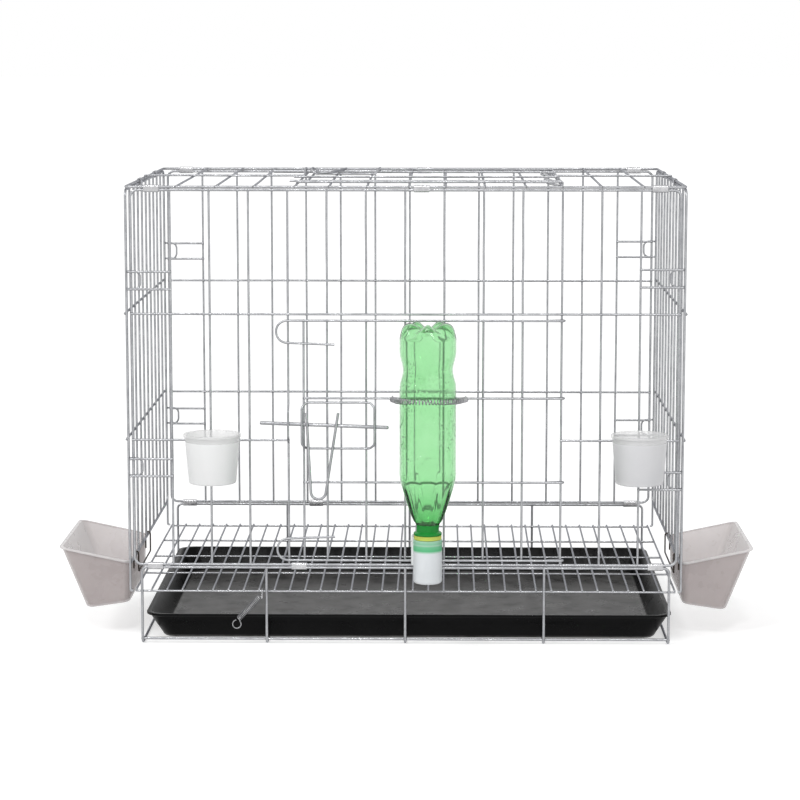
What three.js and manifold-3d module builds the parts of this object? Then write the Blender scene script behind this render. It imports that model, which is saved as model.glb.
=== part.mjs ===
// Collapsible wire cage for pigeons, in millimetres, +Z up, front towards -Y.
// The stand, the five mesh panels and the two doors are bent and welded wire.
// Crimped clips hinge the panels, sliding bolts lock the doors, a spring holds the drinker bottle.
import * as THREE from "three";
import { mergeVertices } from "three/addons/utils/BufferGeometryUtils.js";
import Module from "manifold-3d";

const wasm = await Module();
wasm.setup();

// Wires, by diameter
const frameWire = 3;
const meshWire = 2.6;
const floorWire = 2.2;
const boltWire = 4;
const handleWire = 3;
const hangerWire = 1.8;
const springWire = 1.2;

// Gaps and welds
const play = 0.3;
const clipPlay = 0.4;
const weldShare = 0.8;
const overrun = 1;

// Panels
const cageWidth = 600;
const cageDepth = 400;
const panelHeight = 415;
const frontGaps = 14;
const sideGaps = 10;
const upperRailRise = 279.5;
const lowerRailRise = 140;
const frameBend = 8;
const sideClearance = 5.5;
const sideShift = 1;
const postColumn = 4;
const hingeColumn = 11;

// Stand
const standInset = 7.5;
const standRailHeight = 86.7;
const middleLegPlace = 154;
const legBend = 6;
const footBarHeight = 5.5;

// Floor grid
const floorHeight = 61;
const floorInset = 1;
const floorGaps = 35;
const floorCrossGaps = 4;

// Tray
const trayOverhang = 1;
const trayOutset = 3.5;
const trayHeight = 30;
const trayWall = 1.6;
const trayDraft = 17;
const trayLip = 3;
const trayLipHeight = 3;
const trayCorner = 20;
const trayCornerInset = 3;

// Clips
const clipLength = 17;
const clipSheet = 0.9;
const cornerClipInset = 23;
const centreClipPlace = 18;
const lowClipPlace = -117.5;
const sideClipPlaces = [-59, 101];

// Catches at the corners
const catchHeight = 19.2;
const catchReach = 15;
const leftCatchRises = [316.1, 108.9];
const rightCatchRises = [318.9, 95.2];
const stubReach = 4;
const tailDrop = 30;
const tailReach = 3.2;

// Front door
const frontDoorRises = [272.4, 186.8, 93.2, 5.6];
const stilePlace = -111.4;
const loopReach = 30;
const loopDrop = 24;
const loopReturn = 64;
const loopBend = 8;
const eyeLeg = 15;

// Top door
const topDoorShares = [1, 0.733, 0.325, 0];
const topDoorFront = 60;
const topDoorBackInset = 58;
const topDoorInset = 10;
const topDoorReach = 130;
const topLineShares = [
  -0.821, -0.679, -0.543, -0.396, -0.273, -0.137, 0.013, 0.145, 0.285, 0.431, 0.561, 0.701, 0.851,
];

// Bolt of each door
const boltLength = 142;
const boltStart = -160;
const boltRise = 157;
const boltDrop = 5;
const topBoltInset = 92;
const handleLeft = -108.4;
const handleWidth = 34.9;
const handleTop = 14;
const handleDrop = 82;
const handleLean = 6;
const handleBend = 6;
const guideLeft = -113.6;
const guideWidth = 80;
const guideBelow = 26;
const guideAbove = 25;
const guideBend = 4;
const guideTaper = 9;
const kinkBelow = 12;
const kinkAbove = 15;
const kinkTaper = 8;

// Drinker bottle
const bottlePlace = 25.2;
const bottleRadius = 31;
const bottleWall = 1.1;
const bottleTop = 367;
const bottleNeckTop = 143;
const bottleNeckEnd = 115.5;
const bottleNeckRadius = 12.4;
const bottleShoulder = 54;
const bottleStandOff = 38.5;
const bottleProfileShares = [
  [0.52, 0.1], [0.66, 0.3], [0.84, 0.62], [0.95, 0.84], [1, 1],
];
const bottleWaistRise = 170;
const bottleWaistHeight = 40;
const bottleWaistDepth = 3.6;
const bottleFeet = 5;
const bottleFootPress = 8;
const bottleHeel = 17;
const bottleFootShares = [
  [0.93, 0.3, 1], [0.66, 0, 1], [0.34, 0.25, 0.5], [0.08, 0.5, 0],
];
const flangeRadius = 15.4;
const flangeHeight = 3;
const ringRadius = 15.2;
const ringHeight = 4.5;
const drinkerRadius = 15.85;
const drinkerBottom = 78;
const drinkerTop = 126.5;
const drinkerWall = 1.6;
const socketDepth = 15.5;
const troughWidth = 32;
const troughHeight = 24;
const troughInside = 21;
const troughCorner = 3;
const troughPlace = 23;

// Springs
const coilRadius = 2.5;
const bottleSpringRise = 185;
const bottleSpringLeft = -14;
const bottleSpringRight = 66.5;
const bottleSpringCurls = 18;
const traySpringPlace = -161;
const traySpringRun = 24;
const traySpringFall = 25;
const traySpringCurls = 8;
const traySpringRing = 4.7;
const traySpringLead = 5;

// Water cups
const cupRadius = 31.7;
const cupFootRadius = 26;
const cupHeight = 54;
const cupWall = 1.4;
const cupRimAbove = 12;
const cupLip = 1.4;
const cupLipHeight = 3;
const leftCupPlace = -209.7;
const rightCupPlace = 255.5;
const hookPlace = 13;
const hookWidth = 8;
const hookSheet = 2;
const hookDrop = 9;

// Feed troughs
const feederLength = 175;
const feederMiddle = -81;
const feederReach = 80;
const feederFootReach = 51;
const feederBackRimDrop = 4;
const feederFrontRimRise = 13;
const feederBackFootDrop = 51.5;
const feederFrontFootDrop = 59;
const feederWall = 1.6;
const feederDraft = 5;
const feederCorner = 9;
const feederLip = 2.4;
const feederLipHeight = 2.4;
const hangerSpread = 120;
const hangerDrop = 20;
const hangerLegDrop = 17;
const hangerBend = 2;

// Facets
const squareShare = 0.886;
const frameSides = 6;
const lineSides = 4;
const floorCrossSides = 3;
const roundSides = 16;
const bottleSides = 15;
const springSides = 5;
const stepsPerCurl = 8;
const bendSteps = 2;
const clipSteps = 2;
const eyeSteps = 5;
const cornerSteps = 3;
const hookSteps = 5;
const hookTurnShare = 1.3;
const ringSteps = 12;
const mergeShare = 1e-6;

// Places that follow from the sizes
const frameRadius = frameWire / 2;
const meshRadius = meshWire / 2;
const floorRadius = floorWire / 2;
const boltRadius = boltWire / 2;
const handleRadius = handleWire / 2;
const hangerRadius = hangerWire / 2;
const meshHalf = meshRadius * squareShare;
const flatShare = Math.cos(Math.PI / frameSides);
const hingePitch = frameWire + play;
const panelFoot = standRailHeight + hingePitch;
const panelTop = panelFoot + panelHeight;
const topHeight = panelTop + hingePitch;
const halfWidth = cageWidth / 2;
const halfDepth = cageDepth / 2;
const sidePlace = halfWidth + sideClearance;
const crossStep = meshWire * weldShare;
const legPlace = halfWidth - standInset;
const runnerHeight = frameRadius * flatShare;
const columnStep = cageWidth / frontGaps;
const column = (i) => i * columnStep - halfWidth;
const postPlace = column(postColumn);
const hingePlace = column(hingeColumn);
const topLines = topLineShares.map((share) => share * sidePlace);
const topPost = topLines[postColumn - 1];
const topHinge = topLines[hingeColumn - 1];
const topDoorBack = cageDepth - topDoorBackInset;
const topBoltRise = topDoorBack - topBoltInset;
const topDoorRises = topDoorShares.map(
  (share) => topDoorFront + topDoorInset + share * (topDoorBack - topDoorFront - 2 * topDoorInset),
);

// Layers outwards from a panel: door crosses, door lines, bolt, handle and guide
const eyeRadius = meshRadius + play + meshWire / 2;
const doorCrossLayer = eyeRadius;
const doorLineLayer = doorCrossLayer - crossStep;
const boltLayer = doorLineLayer + meshHalf + play + boltRadius;
const handleLayer = boltLayer + (boltRadius + handleRadius) * weldShare;
const guideLayer = boltLayer + boltRadius + play + meshRadius;

const point = (x, y, z) => new THREE.Vector3(x, y, z);
const deepAxis = point(0, 1, 0);

// Rounds the inner corners of a run of points to a bend radius
function rounded(points, bend, closed) {
  const count = points.length;
  return points.flatMap((corner, i) => {
    if (!bend || (!closed && (i === 0 || i === count - 1))) {
      return [corner];
    }
    const back = points[(i + count - 1) % count].clone().sub(corner);
    const ahead = points[(i + 1) % count].clone().sub(corner);
    const half = back.angleTo(ahead) / 2;
    const turn = Math.PI - 2 * half;
    if (turn < 0.1) {
      return [corner];
    }
    const room = Math.min(back.length(), ahead.length()) * 0.49;
    const reach = Math.min(bend / Math.tan(half), room);
    const radius = reach * Math.tan(half);
    back.normalize();
    ahead.normalize();
    const inward = back.clone().add(ahead).normalize();
    const centre = corner.clone().addScaledVector(inward, radius / Math.sin(half));
    const from = corner.clone().addScaledVector(back, reach).sub(centre);
    const to = corner.clone().addScaledVector(ahead, reach).sub(centre);
    const steps = Math.max(1, Math.round((turn / (Math.PI / 2)) * bendSteps));
    return Array.from({ length: steps + 1 }, (_, k) => {
      const along = (k / steps) * turn;
      const first = Math.sin(turn - along) / Math.sin(turn);
      const second = Math.sin(along) / Math.sin(turn);
      return centre.clone().addScaledVector(from, first).addScaledVector(to, second);
    });
  });
}

// Joins rings of points into one closed solid, capped at both ends unless it closes on itself
function skin(rings, closed = false) {
  const sides = rings[0].length;
  const index = [];
  const spans = closed ? rings.length : rings.length - 1;
  for (let i = 0; i < spans; i++) {
    const here = i * sides;
    const next = ((i + 1) % rings.length) * sides;
    for (let k = 0; k < sides; k++) {
      const turn = (k + 1) % sides;
      index.push(here + k, here + turn, next + turn, here + k, next + turn, next + k);
    }
  }
  if (!closed) {
    const last = (rings.length - 1) * sides;
    for (let k = 1; k < sides - 1; k++) {
      index.push(0, k + 1, k, last, last + k, last + k + 1);
    }
  }
  const geometry = new THREE.BufferGeometry().setFromPoints(rings.flat());
  geometry.setIndex(index);
  return solid(geometry);
}

// Turns a closed geometry into a solid that can be joined and cut
function solid(geometry) {
  const bare = geometry.clone();
  bare.deleteAttribute("normal");
  bare.deleteAttribute("uv");
  const merged = mergeVertices(bare, cageWidth * mergeShare);
  const faces = [];
  for (let i = 0; i < merged.index.count; i += 3) {
    const [a, b, c] = [0, 1, 2].map((k) => merged.index.getX(i + k));
    if (a !== b && b !== c && a !== c) {
      faces.push(a, b, c);
    }
  }
  return new wasm.Manifold(
    new wasm.Mesh({
      numProp: 3,
      vertProperties: merged.attributes.position.array,
      triVerts: new Uint32Array(faces),
    }),
  );
}

// Sweeps a wire's section along a path, with mitred joints
function sweep(path, diameter, sides, closed = false, flat = deepAxis) {
  const count = path.length;
  const spans = closed ? count : count - 1;
  const ways = Array.from({ length: spans }, (_, i) =>
    path[(i + 1) % count].clone().sub(path[i]).normalize(),
  );
  const corner = (diameter / 2) * (sides === 4 ? squareShare * Math.SQRT2 : 1);
  const across = flat.clone().addScaledVector(ways[0], -flat.dot(ways[0]));
  if (across.length() < 0.1) {
    across.set(0, 0, 1).addScaledVector(ways[0], -ways[0].z);
  }
  across.normalize();
  const rings = [];
  for (let i = 0; i < count; i++) {
    const before = ways[closed ? (i + spans - 1) % spans : Math.max(i - 1, 0)];
    const after = ways[closed ? i : Math.min(i, spans - 1)];
    if (i > 0) {
      across.applyQuaternion(new THREE.Quaternion().setFromUnitVectors(before, after));
    }
    const upright = after.clone().cross(across).normalize();
    const mitre = before.clone().add(after).normalize();
    const ring = [];
    for (let k = 0; k < sides; k++) {
      const angle = ((k + 0.5) / sides) * 2 * Math.PI;
      const spoke = across.clone().multiplyScalar(Math.cos(angle) * corner);
      spoke.addScaledVector(upright, Math.sin(angle) * corner);
      const slide = -spoke.dot(mitre) / after.dot(mitre);
      ring.push(path[i].clone().add(spoke).addScaledVector(after, slide));
    }
    rings.push(ring);
  }
  return skin(rings, closed);
}

const wire = (points, diameter, bend = 0, sides = lineSides, flat = deepAxis) =>
  sweep(rounded(points, bend, false), diameter, sides, false, flat);
const hoop = (points, diameter, bend, sides = frameSides, flat = deepAxis) =>
  sweep(rounded(points, bend, true), diameter, sides, true, flat);
const line = (from, to, diameter = meshWire, sides = lineSides) =>
  wire([from, to], diameter, 0, sides);
const weld = (pieces) => wasm.Manifold.union(pieces);

// A solid of revolution about the upright axis, from [radius, height] pairs that start and end on it
function turned(profile) {
  const points = profile.map(([radius, height]) => new THREE.Vector2(radius, height));
  const lathe = new THREE.LatheGeometry(points, roundSides);
  lathe.rotateX(Math.PI / 2);
  return solid(lathe);
}

// A ring of points round a rectangle with rounded corners; height may depend on x
function roundedRing(x0, x1, y0, y1, corner, height) {
  const steps = cornerSteps;
  const ring = [];
  const centres = [
    [x1 - corner, y1 - corner],
    [x0 + corner, y1 - corner],
    [x0 + corner, y0 + corner],
    [x1 - corner, y0 + corner],
  ];
  centres.forEach(([x, y], quarter) => {
    for (let k = 0; k <= steps; k++) {
      const angle = (quarter + k / steps) * (Math.PI / 2);
      const px = x + Math.cos(angle) * corner;
      const py = y + Math.sin(angle) * corner;
      ring.push(point(px, py, height(px)));
    }
  });
  return ring;
}

// A box between two corners
function block(x0, x1, y0, y1, z0, z1) {
  const box = new THREE.BoxGeometry(x1 - x0, y1 - y0, z1 - z0);
  box.translate((x0 + x1) / 2, (y0 + y1) / 2, (z0 + z1) / 2);
  return solid(box);
}

const cage = new THREE.Group();
const zinc = { color: 0xb9bcc0, roughness: 0.35, metalness: 0.9 };
const clipSteel = { color: 0xc6c8cc, roughness: 0.3, metalness: 0.95 };
const springSteel = { color: 0x8f9296, roughness: 0.35, metalness: 0.95 };
const blackPlastic = { color: 0x141414, roughness: 0.45, metalness: 0 };
const clearPlastic = { color: 0xe9ebec, roughness: 0.35, metalness: 0 };
const greenPlastic = { color: 0x2f9a45, roughness: 0.15, metalness: 0 };
const ringPlastic = { color: 0x6f9a3c, roughness: 0.4, metalness: 0 };
const whitePlastic = { color: 0xeef1ee, roughness: 0.45, metalness: 0 };
const rosePlastic = { color: 0xdcc9c2, roughness: 0.35, metalness: 0 };
const darkWire = { color: 0x4a4038, roughness: 0.5, metalness: 0.6 };

// Adds one named piece to the cage, or to a group of it
function piece(name, made, look, group = cage) {
  const mesh = made.getMesh();
  const geometry = new THREE.BufferGeometry();
  geometry.setAttribute("position", new THREE.BufferAttribute(mesh.vertProperties, 3));
  geometry.setIndex(new THREE.BufferAttribute(mesh.triVerts, 1));
  geometry.computeVertexNormals();
  const node = new THREE.Mesh(geometry, new THREE.MeshStandardMaterial(look));
  node.name = name;
  group.add(node);
  return node;
}

// Stand: two rails, corner legs that turn into the side bars, and three more bent runners
function baseFrame() {
  const side = (x) => [
    point(x, -halfDepth, standRailHeight),
    point(x, -halfDepth, runnerHeight),
    point(x, halfDepth, runnerHeight),
    point(x, halfDepth, standRailHeight),
  ];
  const round = [...side(-legPlace), ...side(legPlace).reverse()];
  const runners = [-middleLegPlace, 0, middleLegPlace].map((x) =>
    wire(side(x), frameWire, legBend, frameSides, deepAxis),
  );
  const footBars = [-1, 1].map((way) => {
    const y = way * (halfDepth - frameWire * weldShare);
    const from = point(-legPlace - overrun, y, footBarHeight);
    return line(from, point(legPlace + overrun, y, footBarHeight), frameWire);
  });
  return weld([hoop(round, frameWire, legBend, frameSides, deepAxis), ...runners, ...footBars]);
}

// Floor: close lines from front to back, welded on cross wires
function floorGrid() {
  const edge = halfDepth - frameRadius - play - floorRadius;
  const crossHeight = floorHeight - floorWire * weldShare;
  const half = halfWidth - floorInset;
  const lines = Array.from({ length: floorGaps + 1 }, (_, i) => {
    const x = (i / floorGaps) * 2 * half - half;
    return line(point(x, -edge - overrun, floorHeight), point(x, edge + overrun, floorHeight), floorWire);
  });
  const crosses = Array.from({ length: floorCrossGaps + 1 }, (_, i) => {
    const y = (i / floorCrossGaps) * 2 * edge - edge;
    const ends = [-half - overrun, half + overrun].map((x) => point(x, y, crossHeight));
    return sweep(ends, floorWire, floorCrossSides, false, point(0, 0, -1));
  });
  return weld([...lines, ...crosses]);
}

// Tray: a drawn shell with sloped walls and a turned lip
function tray() {
  const half = legPlace + trayOverhang;
  const deep = halfDepth - frameRadius - overrun - play;
  const foot = runnerHeight + frameRadius * flatShare + play;
  const ring = (inset, z, corner) =>
    roundedRing(-half + inset, half - inset, -deep + inset, deep - inset, corner, () => foot + z);
  const lipFoot = trayHeight - trayLipHeight;
  const inner = trayCorner - trayWall;
  return skin([
    ring(trayDraft, 0, trayCorner - trayCornerInset),
    ring(trayLip, lipFoot, trayCorner),
    ring(0, lipFoot, trayCorner),
    ring(0, trayHeight, trayCorner),
    ring(trayLip + trayWall, trayHeight, inner),
    ring(trayDraft + trayWall, trayWall, inner - trayCornerInset),
  ]);
}

// A rectangular frame in a panel that faces front
const frontFrame = (y) =>
  hoop(
    [
      point(-halfWidth, y, panelFoot),
      point(halfWidth, y, panelFoot),
      point(halfWidth, y, panelTop),
      point(-halfWidth, y, panelTop),
    ],
    frameWire,
    frameBend,
  );

// An upright line bent outwards where the bolt slips behind it
function kinkedPost(x, foot, top, boltAt) {
  const low = boltAt - kinkBelow;
  const high = boltAt + kinkAbove;
  return wire(
    [
      point(x, 0, foot),
      point(x, 0, low - kinkTaper),
      point(x, -guideLayer, low),
      point(x, -guideLayer, high),
      point(x, 0, high + kinkTaper),
      point(x, 0, top),
    ],
    meshWire,
  );
}

// Pairs of short cross wires at both ends of a panel, which the side panels' loops catch
function catchStubs(y, reach) {
  const pairs = [
    [leftCatchRises, -halfWidth - reach, column(1) + overrun],
    [rightCatchRises, column(frontGaps - 1) - overrun, halfWidth + reach],
  ];
  return pairs.flatMap(([rises, from, to]) =>
    rises.flatMap((rise) =>
      [-catchHeight / 2, catchHeight / 2].map((offset) => {
        const z = panelFoot + rise + offset;
        return line(point(from, y, z), point(to, y, z));
      }),
    ),
  );
}

// Front panel, with the door opening between two posts
function frontPanel() {
  const y = -halfDepth;
  const cross = y - crossStep;
  const upper = panelFoot + upperRailRise;
  const lower = panelFoot + lowerRailRise;
  const uprights = [];
  for (let i = 1; i < frontGaps; i++) {
    if (i === postColumn) {
      const post = kinkedPost(column(i), panelFoot, panelTop, panelFoot + boltRise);
      uprights.push(post.translate([0, y, 0]));
    } else {
      const inDoor = i > postColumn && i < hingeColumn;
      const from = point(column(i), y, inDoor ? upper - overrun : panelFoot);
      const sides = i === hingeColumn ? frameSides : lineSides;
      uprights.push(line(from, point(column(i), y, panelTop), meshWire, sides));
    }
  }
  const across = (x0, x1, z) => line(point(x0, cross, z), point(x1, cross, z));
  const edge = halfWidth + overrun;
  return weld([
    frontFrame(y),
    ...uprights,
    across(-edge, edge, upper),
    across(-edge, postPlace + overrun, lower),
    across(hingePlace - overrun, edge, lower),
    ...catchStubs(cross, stubReach),
  ]);
}

// Back panel
function backPanel() {
  const y = halfDepth;
  const cross = y - crossStep;
  const across = (x0, x1, z) => line(point(x0, cross, z), point(x1, cross, z));
  const uprights = [];
  for (let i = 1; i < frontGaps; i++) {
    uprights.push(line(point(column(i), y, panelFoot), point(column(i), y, panelTop)));
  }
  const edge = halfWidth + overrun;
  return weld([
    frontFrame(y),
    ...uprights,
    across(-edge, edge, panelFoot + upperRailRise),
    across(-edge, edge, panelFoot + lowerRailRise),
    ...catchStubs(cross, overrun),
  ]);
}

// Side panel, with catch loops at its front and rear edges and a tail below each
function sidePanel(way) {
  const x = way * sidePlace;
  const front = sideShift - halfDepth;
  const rear = sideShift + halfDepth;
  const frame = hoop(
    [
      point(x, front, panelFoot),
      point(x, rear, panelFoot),
      point(x, rear, panelTop),
      point(x, front, panelTop),
    ],
    frameWire,
    frameBend,
    frameSides,
    point(1, 0, 0),
  );
  const uprights = [];
  for (let i = 1; i < sideGaps; i++) {
    const y = front + (i / sideGaps) * cageDepth;
    uprights.push(line(point(x, y, panelFoot), point(x, y, panelTop)));
  }
  const crosses = [upperRailRise, lowerRailRise].map((rise) => {
    const out = x + way * crossStep;
    const z = panelFoot + rise;
    return line(point(out, front - overrun, z), point(out, rear + overrun, z));
  });
  const rises = way < 0 ? leftCatchRises : rightCatchRises;
  const loops = [front, rear].flatMap((y) =>
    rises.map((rise) => {
      const middle = panelFoot + rise;
      const inner = x - way * catchReach;
      const at = (px, offset) => point(px, y + crossStep, middle + offset);
      return wire(
        [
          at(x + way * overrun, -catchHeight / 2),
          at(inner, -catchHeight / 2),
          at(inner, catchHeight / 2),
          at(x + way * overrun, catchHeight / 2),
        ],
        meshWire,
        catchHeight / 3,
      );
    }),
  );
  const tails = [front, rear].map((y) => {
    const foot = panelFoot - tailDrop;
    const start = panelFoot + frameBend;
    return wire(
      [
        point(x, y, start + frameWire),
        point(x, y, foot),
        point(x - way * tailReach, y, foot),
      ],
      meshWire,
      meshRadius,
    );
  });
  return weld([frame, ...uprights, ...crosses, ...loops, ...tails]);
}

// Top panel, built lying against the front and turned up: its z is the depth behind the front edge
function topPanel() {
  const frame = hoop(
    [
      point(-sidePlace, 0, 0),
      point(sidePlace, 0, 0),
      point(sidePlace, 0, cageDepth),
      point(-sidePlace, 0, cageDepth),
    ],
    frameWire,
    frameBend,
  );
  const lines = topLines.flatMap((x, i) => {
    const number = i + 1;
    if (number === postColumn) {
      return [kinkedPost(x, 0, cageDepth, topBoltRise)];
    }
    if (number > postColumn && number < hingeColumn) {
      return [
        line(point(x, 0, 0), point(x, 0, topDoorFront + overrun)),
        line(point(x, 0, topDoorBack - overrun), point(x, 0, cageDepth)),
      ];
    }
    const sides = number === hingeColumn ? frameSides : lineSides;
    return [line(point(x, 0, 0), point(x, 0, cageDepth), meshWire, sides)];
  });
  const across = (x0, x1, depth) => line(point(x0, -crossStep, depth), point(x1, -crossStep, depth));
  const edge = sidePlace + overrun;
  return weld([
    frame,
    ...lines,
    across(topPost - overrun, topHinge + overrun, topDoorFront),
    across(topPost - overrun, topHinge + overrun, topDoorBack),
    across(-edge, topPost + overrun, halfDepth),
    across(topHinge - overrun, edge, halfDepth),
  ]);
}

// A door leaf: crosses with an eye round the hinge post, lines behind them and the bolt's guide
function doorLeaf(lines, stile, crosses, crossStart, hinge, boltAt, loops) {
  const cross = -doorCrossLayer;
  const upright = -doorLineLayer;
  const top = crosses[0];
  const foot = crosses[crosses.length - 1];
  const rails = crosses.map((z) => line(point(crossStart, cross, z), point(hinge, cross, z)));
  const uprights = [stile, ...lines].map((x) =>
    line(point(x, upright, foot - overrun), point(x, upright, top + overrun)),
  );
  const eyes = crosses.map((z) => {
    const turns = Array.from({ length: eyeSteps + 1 }, (_, k) => {
      const angle = -Math.PI / 2 + (k / eyeSteps) * 1.25 * Math.PI;
      return point(hinge + Math.cos(angle) * eyeRadius, Math.sin(angle) * eyeRadius, z);
    });
    const start = point(hinge - overrun, cross, z);
    const end = point(hinge - eyeLeg, cross + crossStep, z);
    return sweep([start, ...turns, end], meshWire, lineSides, false, point(0, 0, 1));
  });
  return weld([...rails, ...uprights, ...eyes, guide(boltAt), ...loops]);
}

// The bolt's guide: a rounded rectangle whose sides bow out in front of the bolt
function guide(boltAt) {
  const left = guideLeft;
  const right = guideLeft + guideWidth;
  const low = boltAt - guideBelow;
  const high = boltAt + guideAbove;
  const near = -doorCrossLayer;
  const far = -guideLayer;
  return hoop(
    [
      point(left + guideTaper, near, high),
      point(left, far, high - guideBend),
      point(left, far, low + guideBend),
      point(left + guideTaper, near, low),
      point(right - guideTaper, near, low),
      point(right, far, low + guideBend),
      point(right, far, high - guideBend),
      point(right - guideTaper, near, high),
    ],
    meshWire,
    guideBend,
    lineSides,
  );
}

// The loops at the front door's free edge: a cross wire turned back round the post
function stopLoop(z, drop) {
  const y = -doorCrossLayer;
  const tip = stilePlace - loopReach;
  return wire(
    [
      point(stilePlace + overrun, y, z),
      point(tip, y, z),
      point(tip, y, z - drop),
      point(tip + loopReturn, y, z - drop * 1.1),
    ],
    meshWire,
    loopBend,
  );
}

// A bolt with its bent handle
function bolt(boltAt) {
  const end = boltStart + boltLength;
  const high = boltAt + boltDrop / 2;
  const low = boltAt - boltDrop / 2;
  const rod = line(
    point(boltStart, -boltLayer, high),
    point(end, -boltLayer, low),
    boltWire,
    frameSides,
  );
  const y = -handleLayer;
  const right = handleLeft + handleWidth;
  const foot = boltAt - handleDrop;
  const handle = wire(
    [
      point(handleLeft, y, boltAt + handleTop),
      point(handleLeft + handleLean, y, foot),
      point(right - 3 * handleLean, y, foot),
      point(right, y, boltAt + handleTop),
    ],
    handleWire,
    handleBend,
    frameSides,
  );
  return weld([rod, handle]);
}

// A crimped clip round two rails that run along x, one above the other
function clip() {
  const track = (radius) => {
    const outline = new THREE.Shape();
    outline.absarc(0, hingePitch / 2, radius, 0, Math.PI);
    outline.absarc(0, -hingePitch / 2, radius, Math.PI, 2 * Math.PI);
    outline.closePath();
    return outline;
  };
  const inner = frameRadius + clipPlay;
  const sleeve = track(inner + clipSheet);
  sleeve.holes.push(track(inner));
  const shape = new THREE.ExtrudeGeometry(sleeve, {
    depth: clipLength,
    bevelEnabled: false,
    curveSegments: clipSteps,
  });
  shape.translate(0, 0, -clipLength / 2);
  shape.rotateX(Math.PI / 2);
  shape.rotateZ(Math.PI / 2);
  return solid(shape);
}

// Stand, floor and tray
piece("base_frame", baseFrame(), zinc);
piece("floor_grid", floorGrid(), zinc);
piece("tray", tray(), blackPlastic).position.set(trayOutset, 0, 0);

// Panels
piece("front_panel", frontPanel(), zinc);
piece("back_panel", backPanel(), zinc);
piece("left_side_panel", sidePanel(-1), zinc);
piece("right_side_panel", sidePanel(1), zinc);
const roof = new THREE.Group();
roof.position.set(0, -halfDepth, topHeight);
roof.rotation.x = -Math.PI / 2;
cage.add(roof);
piece("top_panel", topPanel(), zinc, roof);

// Doors and bolts
const front = new THREE.Group();
front.position.set(0, -halfDepth, panelFoot);
cage.add(front);
const doorLines = [];
for (let i = postColumn + 1; i < hingeColumn; i++) {
  doorLines.push(column(i));
}
const doorLoops = [
  stopLoop(frontDoorRises[0], loopDrop),
  stopLoop(frontDoorRises[frontDoorRises.length - 1], -loopDrop),
];
piece(
  "front_door",
  doorLeaf(doorLines, stilePlace, frontDoorRises, stilePlace, hingePlace, boltRise, doorLoops),
  zinc,
  front,
);
piece("front_latch", bolt(boltRise), zinc, front);
const roofLines = topLines.slice(postColumn, hingeColumn - 1);
piece(
  "top_door",
  doorLeaf(roofLines, stilePlace, topDoorRises, -topDoorReach, topHinge, topBoltRise, []),
  zinc,
  roof,
);
piece("top_latch", bolt(topBoltRise), zinc, roof);

// Clips
const cornerClip = halfWidth - cornerClipInset;
const places = [-cornerClip, centreClipPlace, cornerClip];
const lowPlaces = [-cornerClip, lowClipPlace, cornerClip];
const lowMiddle = standRailHeight + hingePitch / 2;
const topMiddle = panelTop + hingePitch / 2;
lowPlaces.forEach((x, i) => {
  piece(`clip_front_low_${i + 1}`, clip(), clipSteel).position.set(x, -halfDepth, lowMiddle);
  piece(`clip_back_low_${i + 1}`, clip(), clipSteel).position.set(x, halfDepth, lowMiddle);
});
places.forEach((x, i) => {
  piece(`clip_front_top_${i + 1}`, clip(), clipSteel).position.set(x, -halfDepth, topMiddle);
  piece(`clip_back_top_${i + 1}`, clip(), clipSteel).position.set(x, halfDepth, topMiddle);
});
sideClipPlaces.forEach((y, i) => {
  [-1, 1].forEach((way) => {
    const name = `clip_${way < 0 ? "left" : "right"}_${i + 1}`;
    const node = piece(name, clip(), clipSteel);
    node.position.set(way * sidePlace, y, topMiddle);
    node.rotation.z = Math.PI / 2;
  });
});

// Drinker bottle, upside down in its basin
const bottleY = -halfDepth - bottleStandOff;

// A body skinned from rings about the upright axis, [radius, height, press]; the press sinks it between the feet
function footed(profile) {
  const rings = profile.map(([radius, height, press]) =>
    Array.from({ length: bottleSides }, (_, k) => {
      const angle = (k / bottleSides) * 2 * Math.PI;
      const sunk = (press * (1 - Math.cos(bottleFeet * angle))) / 2;
      return point(Math.cos(angle) * radius, Math.sin(angle) * radius, height - sunk);
    }),
  );
  return skin(rings);
}

function bottle() {
  const waist = bottleNeckTop + bottleWaistRise;
  const flange = drinkerTop + ringHeight + 2 * play;
  const shoulder = (radius, neckTop) =>
    bottleProfileShares.map(([wide, high]) => [wide * radius, neckTop + high * bottleShoulder, 0]);
  const outer = footed([
    [bottleNeckRadius, bottleNeckEnd, 0],
    [bottleNeckRadius, flange, 0],
    [flangeRadius, flange, 0],
    [flangeRadius, flange + flangeHeight, 0],
    [bottleNeckRadius, flange + flangeHeight, 0],
    [bottleNeckRadius, bottleNeckTop, 0],
    ...shoulder(bottleRadius, bottleNeckTop),
    [bottleRadius, waist - bottleWaistHeight / 2, 0],
    [bottleRadius - bottleWaistDepth, waist, 0],
    [bottleRadius, waist + bottleWaistHeight / 2, 0],
    [bottleRadius, bottleTop - bottleHeel, 0],
    ...bottleFootShares.map(([wide, low, press]) => [
      wide * bottleRadius,
      bottleTop - low * bottleHeel,
      press * bottleFootPress,
    ]),
  ]);
  const room = bottleRadius - bottleWall;
  const neck = bottleNeckRadius - bottleWall;
  const inner = turned([
    [0, bottleNeckEnd - overrun],
    [neck, bottleNeckEnd - overrun],
    [neck, bottleNeckTop],
    ...shoulder(room, bottleNeckTop).map(([wide, high]) => [wide, high]),
    [room, waist - bottleWaistHeight / 2],
    [room - bottleWaistDepth, waist],
    [room, waist + bottleWaistHeight / 2],
    [room, bottleTop - bottleHeel],
    [room * bottleFootShares[1][0], bottleTop - bottleFootPress - 2 * bottleWall],
    [0, bottleTop - bottleFootPress - 2 * bottleWall],
  ]);
  return outer.subtract(inner);
}

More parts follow.
